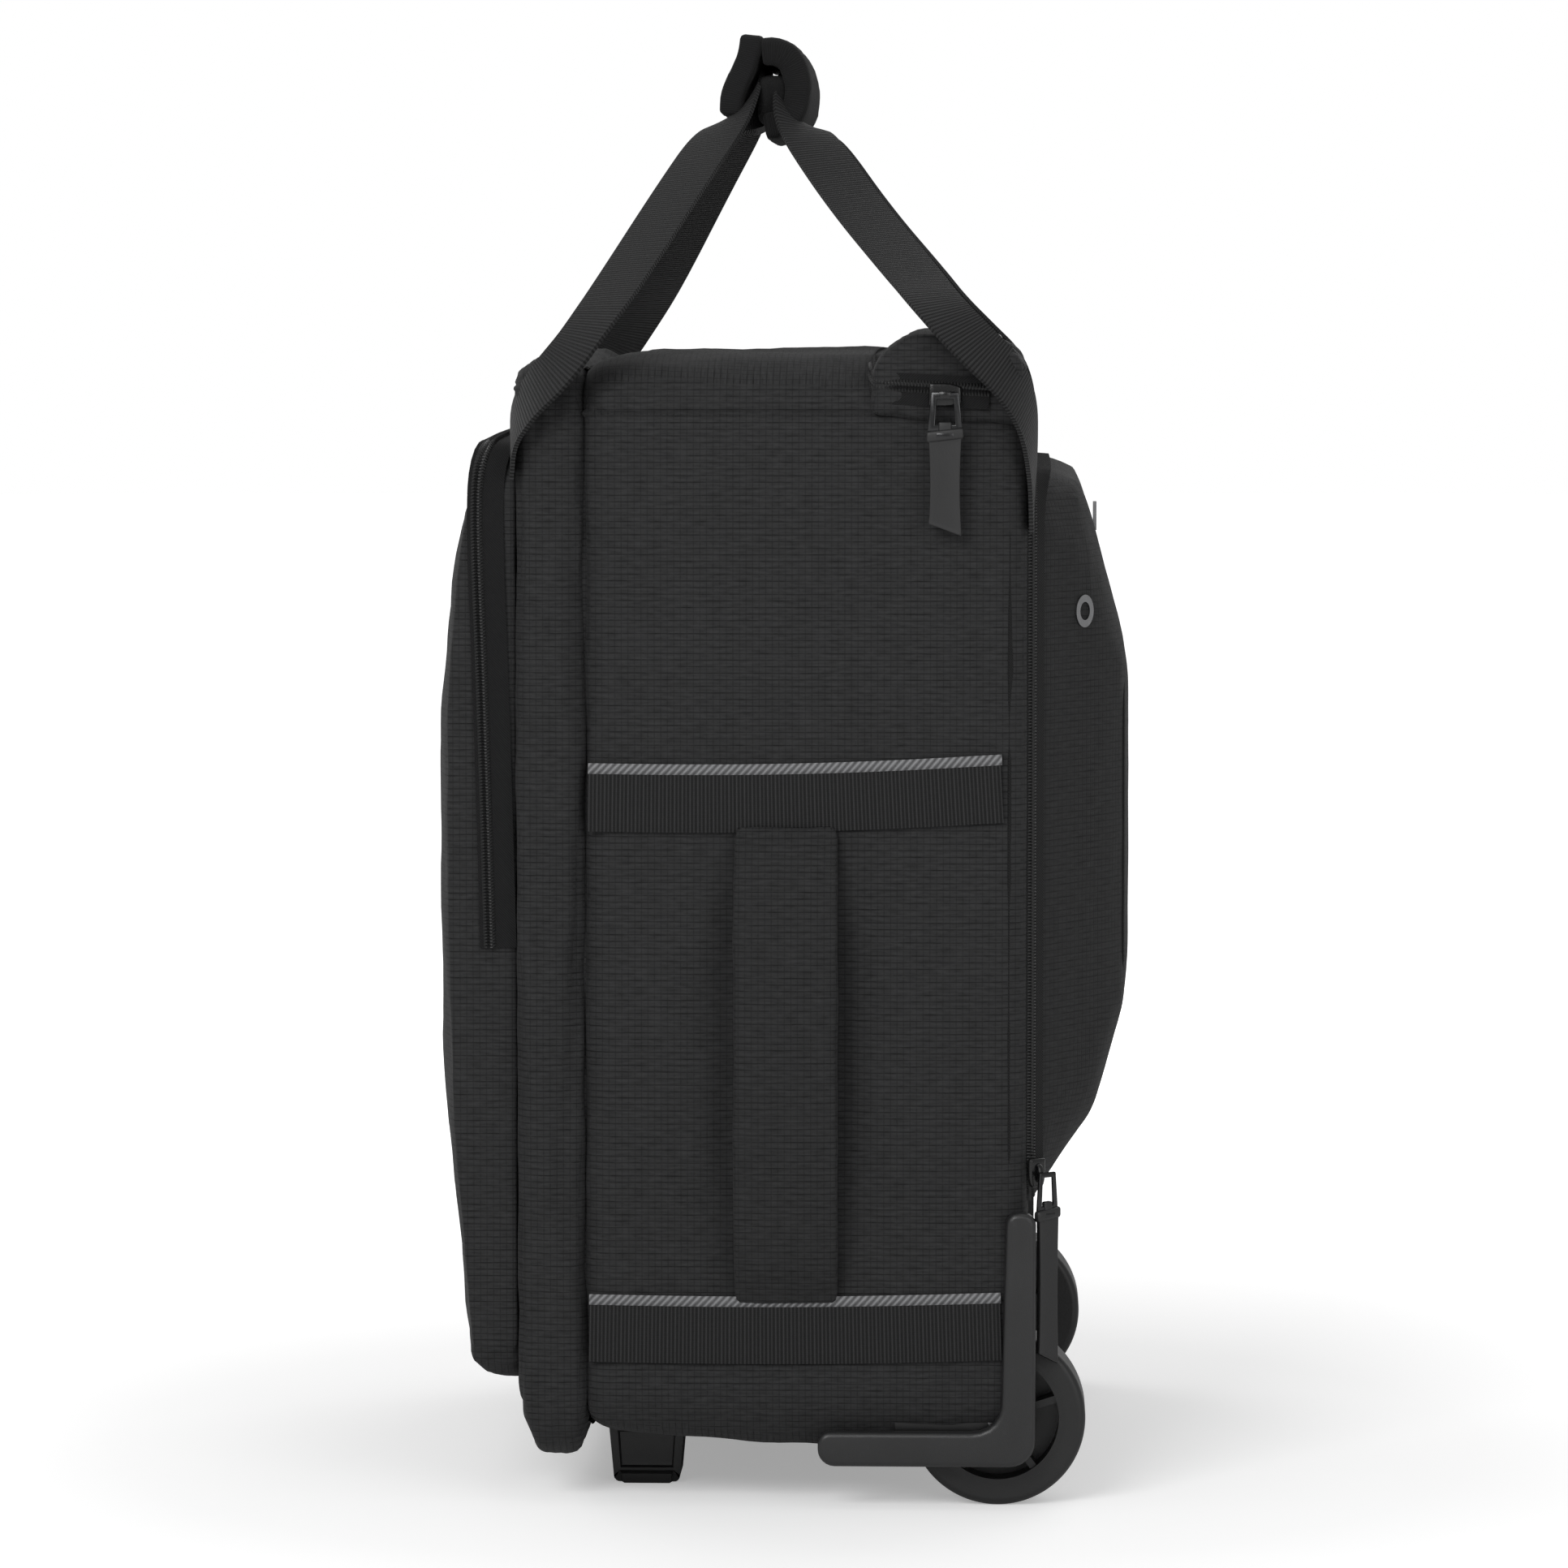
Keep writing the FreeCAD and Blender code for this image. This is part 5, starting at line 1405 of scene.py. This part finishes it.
# %% Slider
def zip_slider(name, centre, out, along, width, long):
    plate = block(name, (-width / 2, -1.4 * MM, -long / 2), (width / 2, 1.2 * MM, long / 2))
    slices(plate, 2, -long / 2, long / 2, long / 6)
    shape(plate, lambda c, n: Vector((c.x * (1 - 0.3 * max(0.0, -2 * c.z / long) ** 2), c.y, c.z)))
    apply(plate, "BEVEL", width=1.0 * MM, segments=3, limit_method="ANGLE")
    bpy.ops.object.select_all(action="DESELECT")
    bpy.ops.mesh.primitive_torus_add(major_radius=long * 0.27, minor_radius=0.8 * MM, major_segments=28,
                                     minor_segments=10, rotation=(0, math.pi / 2, 0), location=(0, 0, 0))
    bridge = laid_down(name + "_bridge")
    shape(bridge, lambda c, n: Vector((c.x * 1.7, 1.0 * MM + c.y * 0.6, c.z)))
    slider = joined(plate, bridge)
    placed(slider, centre, out, along)
    return dressed(slider, SLIDER_PAINT, angle=40)


# %% Link and rubber tab
LINK_LONG, LINK_THICK = 15 * MM, 1.5 * MM


def zip_link(name, width):
    """A flat metal frame, a little narrower at its top, with a hole right through."""
    link = block(name, (-width / 2, 0, -LINK_LONG), (width / 2, LINK_THICK, 1 * MM))
    choose_facing(link, 1)
    bpy.ops.mesh.inset(thickness=width * 0.2, use_individual=True)
    bpy.ops.mesh.bridge_edge_loops()
    edit(link, False)
    shape(link, lambda c, n: Vector((c.x * (1 + 0.22 * c.z / LINK_LONG * -1 - 0.16), c.y, c.z)))
    apply(link, "BEVEL", width=0.45 * MM, segments=2, limit_method="ANGLE")
    slot = block(name + "_slot", (-0.26 * width, 2.4 * MM, -LINK_LONG - 2.6 * MM),
                 (0.26 * width, 3.0 * MM, -LINK_LONG - 0.6 * MM))
    apply(slot, "BEVEL", width=0.25 * MM, segments=2, limit_method="ANGLE")
    return joined(link, slot)


def rubber_tab(name, width, length):
    """A crossbar through the link, and the long tab under it, with one slanted corner."""
    top = -LINK_LONG - 1.5 * MM
    tab = block(name, (-width / 2, -0.2 * MM, -length), (width / 2, 2.4 * MM, top))
    choose_facing(tab, 1)
    bpy.ops.mesh.inset(thickness=1.3 * MM, depth=-0.35 * MM, use_individual=True)
    edit(tab, False)
    slices(tab, 2, -length, top, 4 * MM)

    def cut_corner(place, normal):
        low = max(0.0, 1 - (place.z + length) / (9 * MM))
        slant = 5 * MM * low * (place.x / width + 0.5)
        waist = 1 - 0.1 * math.sin(math.pi * min(1.0, max(0.0, (place.z + length) / (length + top))))
        return Vector((place.x * waist, place.y, place.z + slant))

    shape(tab, cut_corner)
    apply(tab, "BEVEL", width=0.5 * MM, segments=3, limit_method="ANGLE")
    bar = block(name + "_bar", (-width / 2 - 1 * MM, -0.7 * MM, top - 2.2 * MM), (width / 2 + 1 * MM, 2.9 * MM, top + 2.4 * MM))
    shape(bar, lambda c, n: Vector((c.x, c.y, c.z - 0.12 * c.x)))
    apply(bar, "BEVEL", width=1.2 * MM, segments=4, limit_method="ANGLE")
    neck = block(name + "_neck", (-width * 0.2, -0.5 * MM, top), (width * 0.2, 2.2 * MM, top + 5.5 * MM))
    apply(neck, "BEVEL", width=0.8 * MM, segments=3, limit_method="ANGLE")
    return joined(tab, bar, neck)


# %% The four zips
ZIPS = (
    ("garage", (1, 0, 0), (0, -1, 0), 9.5 * MM, 13.5 * MM),
    ("rear", (0.75, 0.66, 0), (0, 0, 1), 8.5 * MM, 12 * MM),
    ("pocket", (-1, 0, 0), (0, 0, 1), 8.0 * MM, 12 * MM),
    ("main", (-1, 0, 0), (0, 0, 1), 8.5 * MM, 12 * MM),
)

for zip_name, out, along, width, long in ZIPS:
    low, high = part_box(f"{zip_name}_slider")
    slider = zip_slider(f"{zip_name}_slider_body", (low + high) / 2, out, along, width, long)
    belongs(slider, f"{zip_name}_runner", "slider_metal", f"{zip_name}_slider")
    low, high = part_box(f"{zip_name}_pull")
    wide = max(high.y - low.y, 9 * MM) + 1.5 * MM
    inner = low.x if out[0] > 0 else high.x
    pin = Vector((inner, (low.y + high.y) / 2, high.z - 1 * MM))
    link = placed(zip_link(f"{zip_name}_pull_link", wide), pin, out, (0, 0, 1))
    belongs(dressed(link, GUNMETAL, angle=40), f"{zip_name}_tab", "slider_metal")
    tab = placed(rubber_tab(f"{zip_name}_pull_tab", wide, high.z - low.z - 1 * MM), pin, out, (0, 0, 1))
    belongs(dressed(tab, PULL_RUBBER, angle=40), f"{zip_name}_tab", "pull_rubber", f"{zip_name}_pull")
print("sliders and pulls:", len(ZIPS))

# %% [markdown]
# ## The patch on the front pocket
#
# A small plain patch is sewn low on the pocket. It bends with the cloth, so its points are laid on
# the same curve as the pocket's face, and a sunk line inside its edge is where it is stitched.


# %% Patch
def patch():
    low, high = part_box("pocket_patch")
    piece = block("pocket_patch_label", low, high)
    choose_facing(piece, 1)
    bpy.ops.mesh.inset(thickness=2.0 * MM, use_individual=True)
    bpy.ops.mesh.inset(thickness=0.5 * MM, depth=-0.35 * MM, use_individual=True)
    bpy.ops.mesh.inset(thickness=0.5 * MM, depth=0.35 * MM, use_individual=True)
    edit(piece, False)
    slices(piece, 2, low.z, high.z, 4 * MM)
    lift = 1.2 * MM
    shape(piece, lambda c, n: Vector((c.x, POCKET_BACK - belly_at(c.z) - lift - (high.y - c.y), c.z)))
    apply(piece, "BEVEL", width=0.4 * MM, segments=2, limit_method="ANGLE")
    dressed(piece, PATCH, angle=40)
    return belongs(piece, "front_lid", "patch", "pocket_patch")


patch()
